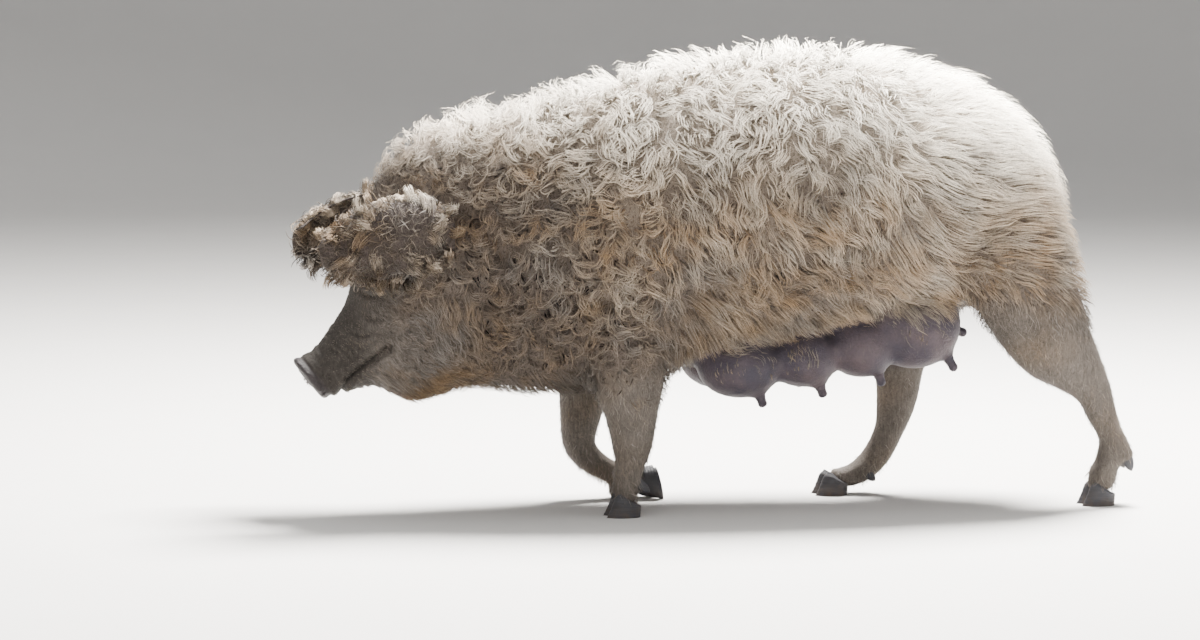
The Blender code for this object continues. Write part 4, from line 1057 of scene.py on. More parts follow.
def short_coat(surface, coat, random, material):
    """Short hair that breaks the form of the face and legs, one short curved rod each."""
    depth, *_ = coat.read(surface.middles)
    x, _, z = surface.middles.T
    snout = ease(-x, 0.690, 0.720)
    udder = udder_share(surface.middles)
    weight = fade(depth, 0.010, 0.018) * (1 - snout) * (1 - 0.55 * udder)
    weight *= np.where(bare_belly(surface.middles) > 0.3, 0.5, 1.0) * (z > 0.02)
    weight *= np.where(x < -0.5, 2.2, 1.0) * np.where(z < 0.07, 1.8, 1.0)
    count = SHORT_HAIRS
    roots, normals = surface.scattered(count, weight, random)
    depth, run, turned, leg = coat.read(roots)
    lie = lie_of(roots, normals, leg)
    stray = random.normal(0, 0.20 + 0.25 * leg, count)
    lie = towards(lie, np.cross(normals, lie), stray)
    side = np.cross(normals, lie)
    cheek = ease(roots[:, 0], -0.64, -0.56) * (roots[:, 0] < -0.3)
    udder = udder_share(roots)
    length = (0.009 + 0.8 * depth + 0.008 * cheek - 0.003 * udder) * random.uniform(0.7, 1.3, count)
    length *= 1 - 0.45 * ease(-roots[:, 0], 0.62, 0.70)
    length += 0.005 * fade(roots[:, 2], 0.05, 0.08) + 0.004 * leg
    lift = 0.0008 + 0.22 * depth * random.uniform(0.3, 1.2, count)
    bend = random.normal(0, 0.16, count) * length
    t = np.linspace(0, 1, 3)[None]
    rise = -0.0012 + (lift[:, None] * np.sin(t * 2.2) + 0.5 * (t * length[:, None]) ** 2 / 0.05)
    paths = roots[:, None] + lie[:, None] * (t * length[:, None])[..., None]
    paths = paths + normals[:, None] * rise[..., None] + side[:, None] * (bend[:, None] * t**2)[..., None]
    paths[..., 2] = np.maximum(paths[..., 2], 0.002)
    widths = random.uniform(0.0009, 0.0016, count) * (1 - 0.50 * udder) * (1 - 0.35 * leg) * (1 - 0.25 * cheek)
    pale, tan, dark = markings_and_top_light(roots)
    dark = np.maximum(dark * (1 - 0.35 * random.uniform(0, 1, count)), 0.95 * udder)
    tan = tan * (1 - udder)
    pale = pale * (1 - udder) + 0.55 * leg * (1 - udder) * random.uniform(0, 1, count) ** 2
    numbers = {"shade": random.uniform(0, 1, count), "pale": pale, "tan": tan, "dark": dark}
    numbers["deep"] = 0.45 + 0.95 * muzzle_share(roots)
    # The legs have a place of their own on the unwrap: by x, and by height on the left and then the right
    foot = leg > 0.5
    leg_uv = on_unwrap((roots[:, 0] + 0.35) / 1.1, (roots[:, 2] / 0.5 + (roots[:, 1] > 0)) / 2)
    uv = np.clip(np.where(foot[:, None], leg_uv, on_unwrap(run, turned)), 0.01, 0.99)
    across, ups = each_step(side, 3), each_step(normals, 3)
    pieces = []
    for name, some in (("coat_face", ~foot), ("coat_legs", foot)):
        parts = (paths[some], across[some], widths[some], picked(numbers, some), uv[some])
        pieces.append(hair_mesh(name, *parts, material, ups=ups[some]))
    return pieces


# Ears


def ear_sheet(word, side):
    """The middle sheet of a lop ear along a bent line, its top edge folded in, and the way out of it."""
    line = curve_rows(EAR_LINE, 10)
    line[:, 0] = line[0, 0] + (line[:, 0] - line[0, 0]) * EAR_STRETCH[word]
    u = np.linspace(0, 1, EAR_ROWS)
    at = u * (len(line) - 1)
    x, z, out = (np.interp(at, np.arange(len(line)), line[:, k]) for k in range(3))
    shape = curve_rows(np.array(EAR_HALF_HEIGHTS)[:, None], 8)[:, 0]
    half = np.interp(u, np.linspace(0, 1, len(shape)), shape)
    v = np.linspace(0, 1, EAR_COLUMNS)[None, :]
    height = z[:, None] + half[:, None] * np.cos(math.pi * v)
    reach = out[:, None] - EAR_FOLD * (1 - np.sin(math.pi / 2 * np.sqrt(v))) - EAR_CURL * v**4
    length = x[:, None] - EAR_TIP * np.sin(math.pi * v) * ease(u[:, None], 0.75, 1.0)
    ripple = 0.0022 * np.sin(9 * u[:, None] + 5 * v) * np.sin(math.pi * v)
    sheet = np.stack([length, side * (reach + ripple), height], axis=-1)
    outward = unit(np.cross(np.gradient(sheet, axis=0), np.gradient(sheet, axis=1)))
    return sheet, outward * np.sign(np.sum(outward[..., 1] * side))


def ear_flap(word, side, material):
    """The leaf of the ear as a thin closed shell."""
    sheet, outward = ear_sheet(word, side)
    u, v = np.linspace(0, 1, EAR_ROWS)[:, None], np.linspace(0, 1, EAR_COLUMNS)[None, :]
    thick = (EAR_THICKNESS / 2) * (1 - 0.45 * u**2) * (0.25 + 0.75 * np.sqrt(np.sin(math.pi * np.clip(v, 0.01, 0.99))))
    front, back = sheet + outward * thick[..., None], sheet - outward * thick[..., None]
    points = np.vstack([front.reshape(-1, 3), back.reshape(-1, 3)])
    other = EAR_ROWS * EAR_COLUMNS
    index = np.arange(other).reshape(EAR_ROWS, EAR_COLUMNS)
    faces = []
    for grid in (index, index[:, ::-1] + other):
        corners = (grid[:-1, :-1], grid[1:, :-1], grid[1:, 1:], grid[:-1, 1:])
        faces += np.stack([corner.reshape(-1) for corner in corners], axis=1).tolist()
    rim = np.concatenate([index[0], index[1:, -1], index[-1, -2::-1], index[-2:0:-1, 0]])
    after = np.roll(rim, -1)
    faces += np.stack([rim, after, after + other, rim + other], axis=1).tolist()
    return mesh_object(f"ear_flap_{word}", points, faces, material)


def sheet_at(sheet, u, v):
    """Points of a grid read between its rows and columns."""
    rows, columns = sheet.shape[:2]
    a, b = np.clip(u, 0, 1) * (rows - 1), np.clip(v, 0, 1) * (columns - 1)
    i, j = np.minimum(a.astype(int), rows - 2), np.minimum(b.astype(int), columns - 2)
    p, q = (a - i)[:, None], (b - j)[:, None]
    low = sheet[i, j] * (1 - q) + sheet[i, j + 1] * q
    high = sheet[i + 1, j] * (1 - q) + sheet[i + 1, j + 1] * q
    return low * (1 - p) + high * p


def ear_rim_hair(word, side, random):
    """Locks that roll over the edge of an ear: each bends from standing up to pointing back in.

    The hairs of a lock start spread round its root and draw together along it.
    """
    sheet, outward = ear_sheet(word, side)
    guides = EAR_LOCKS
    at = (np.arange(guides) + random.uniform(0.2, 0.8, guides)) / guides
    # The edge runs along the bottom, round the tip, back along the top and down round the root
    one, two, three = EAR_EDGE
    bottom, tip, top, back = at < one, (at >= one) & (at < two), (at >= two) & (at < three), at >= three
    places = [bottom, tip, top, back]
    u = np.select(places, [0.03 + 0.94 * at / one, 0.98, 0.97 - 0.94 * (at - two) / (three - two), 0.0])
    v = np.select(places, [1.0, 1 - (at - one) / (two - one), 0.0, (at - three) / (1 - three)])
    inset = random.uniform(0.04, 0.43, guides) * np.where(top, 0.85, 1.0)
    edge = sheet_at(sheet, u, v)
    inner_u = np.where(tip, u - inset * 0.8, np.clip(u, inset * 0.5, 0.98 - inset * 0.4))
    inner_v = np.where(bottom, 1 - inset, np.where(tip | back, 0.22 + 0.56 * v, inset))
    root = sheet_at(sheet, inner_u, inner_v)
    inside = np.where(random.uniform(size=guides) < 0.38, -1.0, 1.0)[:, None]
    up = unit(sheet_at(outward, inner_u, inner_v)) * inside
    out = unit(off(unit(edge - root), up))
    along = np.cross(up, out)
    curl = random.uniform(0, 1, guides)
    first = np.radians(random.uniform(30, 62, guides))
    sweep = np.where(random.uniform(size=guides) < 0.8, -side, side)
    lean = random.normal(0, 0.30, guides) + 0.35 * sweep
    hook = random.uniform(0.9, 3.0, guides) * sweep

    g = np.repeat(np.arange(guides), EAR_LOCK_HAIRS)
    n, steps = len(g), 7
    t = np.linspace(0, 1, steps)[None, :]
    size = random.uniform(0.82, 1.0, n)
    length = (0.046 + 0.022 * curl[g] + 0.030 * inset[g]) * random.uniform(0.85, 1.08, n)
    total = np.radians(150 + 70 * curl[g])
    angle = first[g][:, None] - total[:, None] * t**1.2
    heading = lean[g][:, None] + hook[g][:, None] * t**1.7
    step = (length / (steps - 1) * size)[:, None]
    far, over, high = (
        (np.cumsum(part, axis=1) - part[:, :1]) * step
        for part in (np.cos(angle) * np.cos(heading), np.cos(angle) * np.sin(heading), np.sin(angle))
    )
    drawn = 1 - 0.34 * ease(t, 0.1, 0.9)
    spread = random.normal(0, 0.0064, n)
    before = random.normal(0, 0.0050, n)
    wave = 0.0022 * np.sin(2 * math.pi * (1.3 * t + random.uniform(0, 1, (guides, 1))[g])) * t
    side_x, side_y = -np.sin(heading), np.cos(heading)
    far = far + before[:, None] * drawn + side_x * wave
    beside = over + spread[:, None] * drawn + side_y * wave
    paths = (
        root[g][:, None]
        + out[g][:, None] * far[..., None]
        + up[g][:, None] * high[..., None]
        + along[g][:, None] * beside[..., None]
    )
    ups, across = each_step(up[g], steps), each_step(along[g], steps)
    # Painted shade: hairs at the edge of a lock, and the shorter ones inside it, are darkened
    shaded = np.clip(2.0 * (1 - size) + 0.9 * ease(np.abs(spread), 0.003, 0.012), 0, 1.6)
    return paths, across, random.uniform(0, 1, guides)[g], np.column_stack([inner_u, inner_v])[g], shaded, ups


def ear_middle_hair(word, side, random):
    """Sparse wavy hair on the middle of an ear and short hair on its inside."""
    sheet, outward = ear_sheet(word, side)
    n, steps = EAR_MIDDLE_HAIRS, 7
    u, v = random.uniform(0.02, 0.95, n), random.uniform(0.02, 0.98, n)
    face = np.where(random.uniform(size=n) < 0.50, 1.0, -1.0)
    root = sheet_at(sheet, u, v)
    up = unit(sheet_at(outward, u, v)) * face[:, None]
    forward = unit(sheet_at(sheet, u + 0.02, v) - sheet_at(sheet, u - 0.02, v))
    forward = unit(off(forward, up))
    way = towards(forward, np.cross(up, forward), random.normal(0, 0.9, n))
    side_way = np.cross(up, way)
    t = np.linspace(0, 1, steps)[None, :]
    length = np.where(face > 0, random.uniform(0.018, 0.040, n), random.uniform(0.022, 0.045, n))
    bend = random.uniform(-3.6, 3.6, n)[:, None] * t
    on = np.cumsum(np.cos(bend), axis=1) / steps * length[:, None]
    over = np.cumsum(np.sin(bend), axis=1) / steps * length[:, None]
    rise = (0.0065 * np.sin(t * 2.6)) * random.uniform(0.4, 1.5, n)[:, None] - 0.001 + EAR_THICKNESS * 0.35
    paths = root[:, None] + way[:, None] * on[..., None] + side_way[:, None] * over[..., None]
    paths = paths + up[:, None] * rise[..., None]
    uv = np.column_stack([u, v])
    return paths, each_step(side_way, steps), random.uniform(0, 1, n), uv, face, each_step(up, steps)


def ear_coat(material):
    """The hair of both ears, a piece for each."""
    pieces = []
    for side, word in SIDES:
        random = np.random.default_rng(SEED + 20 + side)
        rim_paths, rim_across, rim_clump, rim_uv, shaded, rim_ups = ear_rim_hair(word, side, random)
        paths, across, clump, uv, face, ups = ear_middle_hair(word, side, random)
        n, m = len(rim_paths), len(paths)
        high = ease(rim_paths[:, 0, 2], 0.44, 0.56)
        # Painted light: the top locks of the near ear are painted paler, those of the far ear hardly at all
        painted_top_light = 0.30 if word == "left" else 0.04
        numbers = {
            "shade": np.concatenate([0.3 * rim_clump + 0.7 * random.uniform(0, 1, n), clump * 0.8]),
            "pale": np.concatenate([(0.20 + painted_top_light * high) * (0.2 + 1.5 * rim_clump), 0.55 * clump**3]),
            "tan": np.concatenate([0.44 + 0.10 * high, np.full(m, 0.34)]),
            "dark": np.concatenate([0.80 - 0.52 * high, np.where(face > 0, 1.0, 0.60)]),
            "deep": np.concatenate([shaded, np.where(face > 0, 0.5 + 1.1 * random.uniform(0, 1, m), 0.3)]),
        }
        widths = np.concatenate([random.uniform(0.0014, 0.0022, n), random.uniform(0.0014, 0.0022, m)])
        uv = on_unwrap(*np.clip(np.vstack([rim_uv, uv]), 0, 1).T)
        both, sides = np.concatenate([rim_paths, paths]), np.concatenate([rim_across, across])
        ups = np.concatenate([rim_ups, ups])
        pieces.append(hair_mesh(f"ear_curls_{word}", both, sides, widths, numbers, uv, material, 0.7, ups, 0.25))
    return pieces


# Small parts


def claw_ring(share):
    """One ring of a claw in its own frame: the sole at 0, the coronet at 1, the toe towards -X."""
    angle = np.linspace(0, 2 * math.pi, 40, endpoint=False)
    toe = np.cos(angle) < 0
    length = CLAW_LENGTH * (1 - CLAW_SHORTER * share)
    width = CLAW_WIDTH * (1 - CLAW_NARROWER * share)
    x = np.cos(angle) * np.where(toe, *CLAW_REACH) * length + CLAW_BACKWARD * share
    y = np.sin(angle) * (width / 2) * np.where(toe, 1 - CLAW_POINT * np.cos(angle) ** 4, 1.0)
    return x, y


def foot_place(points, foot):
    """Points made round the coronet, set in their place on a foot."""
    *middle, turn = FEET[foot]
    matrix = np.array(Matrix.Rotation(math.radians(-turn), 3, "Y"))
    return np.asarray(points) @ matrix.T + middle


def claws(material):
    """The eight main claws, each with a rounded sole edge and faint growth rings."""
    made = []
    for foot in FEET:
        for side, word in ((-1, "a"), (1, "b")):
            rings = []
            for share in np.concatenate([[0.0, 0.012, 0.035, 0.07], np.linspace(0.12, 1.0, 26)]):
                x, y = claw_ring(share)
                inset = 1 - 0.14 * (1 - min(share / 0.06, 1)) ** 2 - 0.38 * ease(share, 0.80, 1.02)
                inset *= 1 + 0.010 * math.sin(share * 38)
                lower = 1 - HEEL_LOWER * ease(x, -0.016, 0.028) - TOE_LOWER * fade(x, -0.034, -0.014)
                z = (share * lower - 1.0) * CLAW_HEIGHT + CORONET_RISE * share
                rings.append(np.column_stack([x * inset, y * inset + side * CLAW_SPREAD, z]))
            points, faces = tube(rings)
            points = foot_place(points, foot)
            points[:, 2] = np.maximum(points[:, 2], 0.0)
            made.append((mesh_object(f"hoof_{foot}_{word}", points, faces, material), f"claw_{foot}_{word}"))
            root, tip, radius = dewclaw_line(foot, side)
            t = np.linspace(0, 1, 12)
            radii = radius * (1.05 - 0.40 * t**1.5) * np.sqrt(1.02 - np.clip((t - 0.6) / 0.4, 0, 1) ** 2.5)
            oval = np.column_stack([radii, radii * 0.8])
            points, faces = tube(round_rings(root + (tip - root) * t[:, None], oval, NEAR_SIDEWAYS))
            piece = mesh_object(f"small_claw_{foot}_{word}", foot_place(points, foot), faces, material)
            made.append((piece, f"dewclaw_{foot}_{word}"))
    return made


def teats(material):
    """The teats, each a short rod with a ringed skin and a rounded end, rooted in its cone."""
    meshes = []
    t = np.linspace(0, 1, 22)
    for root, tip in teat_lines():
        path = root + (tip - root) * (TEAT_START + (1 - TEAT_START) * t[:, None])
        radii = TEAT_RADIUS * (1.5 - 0.5 * ease(t, 0.0, 0.6)) * (1 + 0.03 * np.sin(t * 34))
        radii *= np.sqrt(1 - np.clip((t - 0.80) / 0.205, 0, 1) ** 2)
        meshes.append(tube(round_rings(path, radii, NEAR_SIDEWAYS)))
    made = mesh_object("teats", *joined(meshes), material)
    count = len(made.data.vertices)
    set_numbers(made.data, {name: np.full(count, value) for name, value in TEAT_NUMBERS.items()})
    return made


def tail_line():
    """The path of the tail and its radius along it."""
    x, z, y, radius = curve_rows(TAIL, 8).T
    return np.column_stack([x, y, z]), radius


def tail(material):
    """The bare tail, which its hair covers."""
    return mesh_object("tail_core", *tube(round_rings(*tail_line(), (1.0, 0.0, 0.2))), material)


def tail_coat(random, material):
    """Hair down the tail and its tassel."""
    path, radii = tail_line()
    n, steps = TAIL_HAIRS, 5
    at = random.uniform(0, 1, n) ** 0.8 * (len(path) - 1)
    low = np.minimum(at.astype(int), len(path) - 2)
    part = (at - low)[:, None]
    spot = path[low] * (1 - part) + path[low + 1] * part
    along = unit(path[low + 1] - path[low])
    angle = random.uniform(0, 2 * math.pi, n)[:, None]
    first = unit(np.cross(along, [1.0, 0.0, 0.3]))
    out = first * np.cos(angle) + np.cross(along, first) * np.sin(angle)
    tassel = ease(at / (len(path) - 1), 0.60, 0.95)
    length = (0.024 + 0.030 * tassel) * random.uniform(0.40, 1.15, n)
    t = np.linspace(0, 1, steps)[None, :, None]
    stands = (0.0045 + 0.0065 * tassel) * random.uniform(0.3, 1.3, n)
    swell = (radii[low] * 0.8)[:, None, None] * (1 - 0.7 * t * tassel[:, None, None])
    swell = swell + stands[:, None, None] * np.sin(t * 2.7)
    way = unit(along + np.array([0.0, 0.0, -0.5]) * tassel[:, None] + random.normal(0, 0.10, (n, 3)))
    paths = spot[:, None] + out[:, None] * swell + way[:, None] * t * length[:, None, None]
    across = each_step(np.cross(way, out), steps)
    paths = paths + across * 0.0030 * np.sin(6 * t + angle[:, :, None]) * t
    numbers = {
        "shade": random.uniform(0, 1, n),
        "pale": np.full(n, 0.38),
        "tan": np.full(n, 0.45),
        "dark": np.full(n, 0.25),
        "deep": random.uniform(0.1, 0.6, n),
    }
    uv = np.column_stack([0.02 + 0.96 * at / len(path), 0.02 + 0.96 * angle[:, 0] / (2 * math.pi)])
    return hair_mesh("tail_hair", paths, across, random.uniform(0.0013, 0.0021, n), numbers, uv, material)


def eyeballs(eyes, material):
    """The eyes, each a ball with a slight bulge of cornea, turned to look outwards."""
    made = []
    for word, (hit, normal) in eyes.items():
        points, faces = ball((0, 0, 0), (1, 1, 1), 40, 48)
        bulge = 1 + 0.06 * bell(points[:, 2], 1.0, 0.35)
        local = points * bulge[:, None]
        turn = np.array(Vector((0, 0, 1)).rotation_difference(Vector(normal)).to_matrix())
        points = EYE_RADIUS * local @ turn.T + hit - normal * EYE_SINK
        piece = mesh_object(f"eyeball_{word}", points, faces, material)
        set_numbers(piece.data, {"front": local[:, 2]})
        made.append((piece, f"eye_{word}"))
    return made


def lashes(eyes, random, material):
    """Dark lashes along the upper lid of each eye, standing out and drooping."""
    pieces = []
    for word, (eye, normal) in eyes.items():
        forward = unit(np.cross([0, 0, 1.0], normal))
        up = np.cross(normal, forward)
        n = LASHES
        angle = random.uniform(0.15, math.pi - 0.15, n)[:, None]
        root = eye + forward * (0.0165 * np.cos(angle)) + up * (0.0105 * np.sin(angle)) + normal * 0.001
        way = unit(normal * 0.8 + up * 0.45 + forward * (0.5 * np.cos(angle)) + random.normal(0, 0.15, (n, 3)))
        t = np.linspace(0, 1, 3)[None, :, None]
        length = random.uniform(0.010, 0.019, n)[:, None, None]
        paths = root[:, None] + way[:, None] * length * t - np.array([0.0, 0.0, 0.006]) * t**2
        numbers = {"shade": random.uniform(0, 1, n), "pale": np.full(n, 0.10), "tan": np.full(n, 0.2)}
        numbers |= {"dark": np.full(n, 0.9), "deep": np.full(n, 0.6)}
        across = each_step(np.cross(way, up), 3)
        uv = np.column_stack([0.3 + 0.01 * angle[:, 0], random.uniform(0.2, 0.3, n)])
        pieces.append(hair_mesh(f"lashes_{word}", paths, across, np.full(n, 0.0012), numbers, uv, material))
    return pieces


# Materials


def maths(operation, turned=False):
    """An operator for wires that makes one Math node; turned, it takes its two values the other way round."""

    def apply(wire, other):
        first, second = (other, wire) if turned else (wire, other)
        return wire.node("ShaderNodeMath", {0: first, 1: second}, operation=operation)

    return apply


class Wire:
    """A value in a shader: + - and * make Math nodes, and node() makes any other."""

    __add__, __radd__ = maths("ADD"), maths("ADD", True)
    __sub__, __rsub__ = maths("SUBTRACT"), maths("SUBTRACT", True)
    __mul__, __rmul__ = maths("MULTIPLY"), maths("MULTIPLY", True)

    def __init__(self, tree, socket):
        self.tree, self.socket = tree, socket

    def node(self, kind, inputs, output=0, **settings):
        """A node with settings and inputs, which are wires or plain values; gives one of its outputs."""
        made = self.tree.nodes.new(kind)
        for name, value in settings.items():
            setattr(made, name, value)
        for name, value in inputs.items():
            if isinstance(value, Wire):
                self.tree.links.new(value.socket, made.inputs[name])
            else:
                made.inputs[name].default_value = value
        return Wire(self.tree, made.outputs[output])

    def clamped(self):
        """This value, kept between 0 and 1."""
        return self.node("ShaderNodeClamp", {"Value": self})

    def between(self, low, high):
        """A smooth step of this value from low to high."""
        return self.node(
            "ShaderNodeMapRange", {"Value": self, "From Min": low, "From Max": high}, interpolation_type="SMOOTHSTEP"
        )


class Finish:
    """One Principled material, with helpers for colours, textures and bump."""

    def __init__(self, name, roughness, **constants):
        self.material = bpy.data.materials.new(name)
        self.material.use_nodes = True
        self.tree = self.material.node_tree
        self.shader = self.tree.nodes["Principled BSDF"]
        self.wire = Wire(self.tree, None)
        self.shader.inputs["Roughness"].default_value = roughness
        for socket, value in constants.items():
            self.shader.inputs[socket.replace("_", " ")].default_value = value

    def number(self, name):
        """A number that the mesh carries."""
        return self.wire.node("ShaderNodeAttribute", {}, "Fac", attribute_name=name)

    def place(self, scale=(1.0, 1.0, 1.0), turn=(0.0, 0.0, 0.0)):
        """Object coordinates, stretched and turned."""
        where = self.wire.node("ShaderNodeTexCoord", {}, "Object")
        return self.wire.node("ShaderNodeMapping", {"Vector": where, "Scale": scale, "Rotation": turn})

    def noise(self, where, scale, detail=3.0, roughness=0.55, distortion=0.0):
        """Noise from about 0 to 1 over a place."""
        inputs = {"Vector": where, "Scale": scale, "Detail": detail, "Roughness": roughness, "Distortion": distortion}
        return self.wire.node("ShaderNodeTexNoise", inputs, "Fac")

    def curls(self, scale):
        """A net of thin swirling lines, as of curly wool: where a strongly bent noise passes its middle."""
        bent = self.noise(self.place(), scale, 2.0, 0.5, 2.4)
        off = self.wire.node("ShaderNodeMath", {0: bent * 2.0 - 1.0}, operation="ABSOLUTE")
        return (1.0 - off * 3.2).clamped()

    def mixed(self, share, first, second):
        """Two colours mixed by a share."""
        return self.wire.node("ShaderNodeMix", {0: share, 6: first, 7: second}, 2, data_type="RGBA")

    def scaled(self, colour, factor):
        """A colour made lighter or darker by a number."""
        return self.wire.node("ShaderNodeVectorMath", {0: colour, "Scale": factor}, operation="SCALE")

    def set(self, socket, value):
        """Leads a value into a socket of the shader."""
        self.tree.links.new(value.socket, self.shader.inputs[socket])

    def bump(self, height, strength, distance):
        """Leads a height into the shader's normal."""
        made = self.wire.node("ShaderNodeBump", {"Height": height, "Strength": strength, "Distance": distance})
        self.set("Normal", made)


def rgb(red, green, blue):
    """A solid colour for a socket."""
    return (red, green, blue, 1.0)


TAN = rgb(0.190, 0.100, 0.038)
GREY = rgb(0.098, 0.094, 0.097)
BLOND = rgb(0.400, 0.310, 0.210)
GOLD = rgb(0.355, 0.212, 0.086)
CREAM = rgb(1.00, 0.93, 0.80)
DARK = rgb(0.045, 0.037, 0.032)
SLATE = rgb(0.150, 0.141, 0.136)
RUSSET = rgb(0.222, 0.145, 0.078)


def coat_colour(finish, along, shade, pale, tan, dark):
    """The colour of hair from its numbers: root to tip, then pale, tan and dark places."""
    root = finish.mixed(tan, GREY, TAN)
    root = finish.mixed(dark, root, DARK)
    tip = finish.mixed(pale, finish.mixed(tan, BLOND, GOLD), CREAM)
    tip = finish.mixed(dark * 0.85, tip, finish.mixed(tan, SLATE, RUSSET))
    reach = (along * 0.52 + pale * 0.45 + shade * 0.42 - 0.10).clamped()
    return finish.mixed(reach, root, tip)


def hair_material():
    """Matt hair in fine strands, which run along each lock, over soft patches of grey, straw and tan."""
    finish = Finish("hair", 0.62, Specular_IOR_Level=0.12)
    along, shade = finish.number("along"), finish.number("shade")
    patch = finish.noise(finish.place(), 17.0, 2.0)
    fleck = finish.noise(finish.place(), 75.0, 3.0, 0.65)
    strand = {"X": finish.number("strand"), "Y": along * 2.2, "Z": shade * 30.0}
    strand = finish.noise(finish.wire.node("ShaderNodeCombineXYZ", strand), 0.55, 4.0, 0.65)
    curls = finish.curls(95.0)
    tan = (finish.number("tan") + (patch - 0.5) * 2.0).clamped()
    wide = finish.noise(finish.place(), 9.0, 3.0)
    pale, dark = finish.number("pale"), finish.number("dark")
    pale = (pale + (wide - 0.5) * 1.1 * (1.12 - pale)).clamped()
    look = coat_colour(finish, along, shade * 0.5 + strand * 0.6, pale, tan, dark)
    lively = ((strand.between(0.30, 0.70) - 0.5) * 0.55 + (shade - 0.5) * 0.45) * dark
    light = 0.20 + shade * 0.20 + fleck * 0.38 + strand * 0.52 + curls * 0.40 + lively
    # This number darkens hair: painted shade for hairs low in the coat and at the edges of the ear's locks, and a
    # darker own tone on the muzzle, tail, lashes and middle of the ears
    light = light * (1.0 - 0.32 * finish.number("deep"))
    # Painted light: pale places, mostly the top of the back, are made brighter still, as sunlight on them
    finish.set("Base Color", finish.scaled(look, light * (0.94 + 0.30 * pale * pale - 0.08 * dark)))
    finish.set("Roughness", (0.50 + shade * 0.22).clamped())
    finish.bump(strand, 0.5, 0.0006)
    return finish.material


def skin_material():
    """Skin under the coat, short hair on face and legs, and the bare snout and udder."""
    finish = Finish("skin", 0.7, Specular_IOR_Level=0.16)
    pale, tan, dark = finish.number("pale"), finish.number("tan"), finish.number("dark")
    snout, udder, coated = finish.number("snout"), finish.number("udder"), finish.number("coated")
    upright = finish.place((260.0, 260.0, 42.0))
    headlong = finish.place((210.0, 260.0, 60.0), (0.0, math.radians(-38.0), 0.0))
    hairs = finish.noise(upright, 1.0, 4.0, 0.6, 0.4)
    face_hairs = finish.noise(headlong, 1.0, 4.0, 0.6, 0.4)
    on_head = finish.number("head")
    streak = hairs * (1.0 - on_head) + face_hairs * on_head
    short = coat_colour(finish, streak, finish.noise(finish.place(), 30.0), pale, tan, dark)
    swirl = finish.curls(120.0)
    lively = 0.42 + 0.75 * on_head
    light = 0.62 - 0.30 * on_head + lively * streak + 0.45 * swirl
    light = light * (1.0 - 0.70 * finish.number("muzzle")) * (1.02 - 0.26 * dark)
    short = finish.scaled(short, light)
    under = finish.mixed(pale, rgb(0.050, 0.040, 0.033), rgb(0.17, 0.140, 0.112))
    under = finish.scaled(under, 0.35 + 0.6 * streak + 1.2 * finish.curls(80.0))
    colour = finish.mixed(coated * 0.85, short, under)
    patches = finish.noise(finish.place(), 14.0, 4.0)
    grain = finish.noise(finish.place(), 220.0, 3.0)
    teat_skin = finish.mixed((patches * 2.4 - 0.8).clamped(), rgb(0.029, 0.0265, 0.036), rgb(0.066, 0.049, 0.053))
    teat_skin = finish.scaled(teat_skin, 0.55 + 0.6 * grain + 0.4 * finish.noise(finish.place(), 40.0, 3.0))
    colour = finish.mixed(udder, colour, teat_skin)
    disc = finish.mixed(patches, rgb(0.019, 0.017, 0.018), rgb(0.044, 0.037, 0.038))
    colour = finish.mixed(snout, colour, finish.scaled(disc, 0.6 + 0.8 * grain))
    # Painted shade: the colour is darkened in the nostrils, along the mouth and in the folds of the face
    finish.set("Base Color", finish.scaled(colour, 1.0 - 0.75 * finish.number("hollow_shade")))
    bare = (snout + udder).clamped()
    finish.set("Roughness", (0.80 - 0.16 * bare + 0.1 * (grain - 0.5)).clamped())
    cells = finish.wire.node("ShaderNodeTexVoronoi", {"Vector": finish.place(), "Scale": 330.0}, "Distance")
    folds = finish.noise(finish.place((1.0, 1.0, 2.5)), 60.0, 4.0, 0.6, 0.8)
    height = streak * (1.0 - bare) + (cells * 0.5 + folds * 0.8) * bare
    finish.bump(height, 0.8, 0.0016)
    return finish.material


def ear_material():
    """The dark bare skin of the ears under their hair."""
    finish = Finish("ear_skin", 0.7, Specular_IOR_Level=0.12)
    patches = finish.noise(finish.place(), 26.0, 4.0)
    hairs = finish.noise(finish.place((60.0, 240.0, 240.0)), 1.0, 4.0, 0.6, 0.5)
    colour = finish.mixed(patches, rgb(0.024, 0.020, 0.019), rgb(0.070, 0.055, 0.047))
    curls = finish.curls(110.0)
    finish.set("Base Color", finish.scaled(colour, 0.4 + 0.5 * hairs + 0.7 * curls))
    finish.bump(hairs + curls, 0.8, 0.0015)
    return finish.material


def horn_material():
    """Worn dark horn with rings, scratches and dried mud low down."""
    finish = Finish("horn", 0.5, Specular_IOR_Level=0.28)
    rings = finish.noise(finish.place((30.0, 30.0, 420.0)), 1.0, 3.0, 0.6, 0.3)
    dust = finish.noise(finish.place(), 60.0, 5.0)
    height = finish.wire.node("ShaderNodeSeparateXYZ", {"Vector": finish.place()}, "Z")
    low = 1.0 - height.between(0.004, 0.030)
    colour = finish.mixed(rings, rgb(0.020, 0.021, 0.025), rgb(0.053, 0.053, 0.060))
    colour = finish.mixed(((dust * 2.2 - 0.7) * (0.12 + 0.55 * low)).clamped(), colour, rgb(0.085, 0.060, 0.042))
    finish.set("Base Color", colour)
    finish.set("Roughness", (0.42 + 0.35 * dust).clamped())
    finish.bump(rings + dust * 0.4, 0.6, 0.0012)
    return finish.material


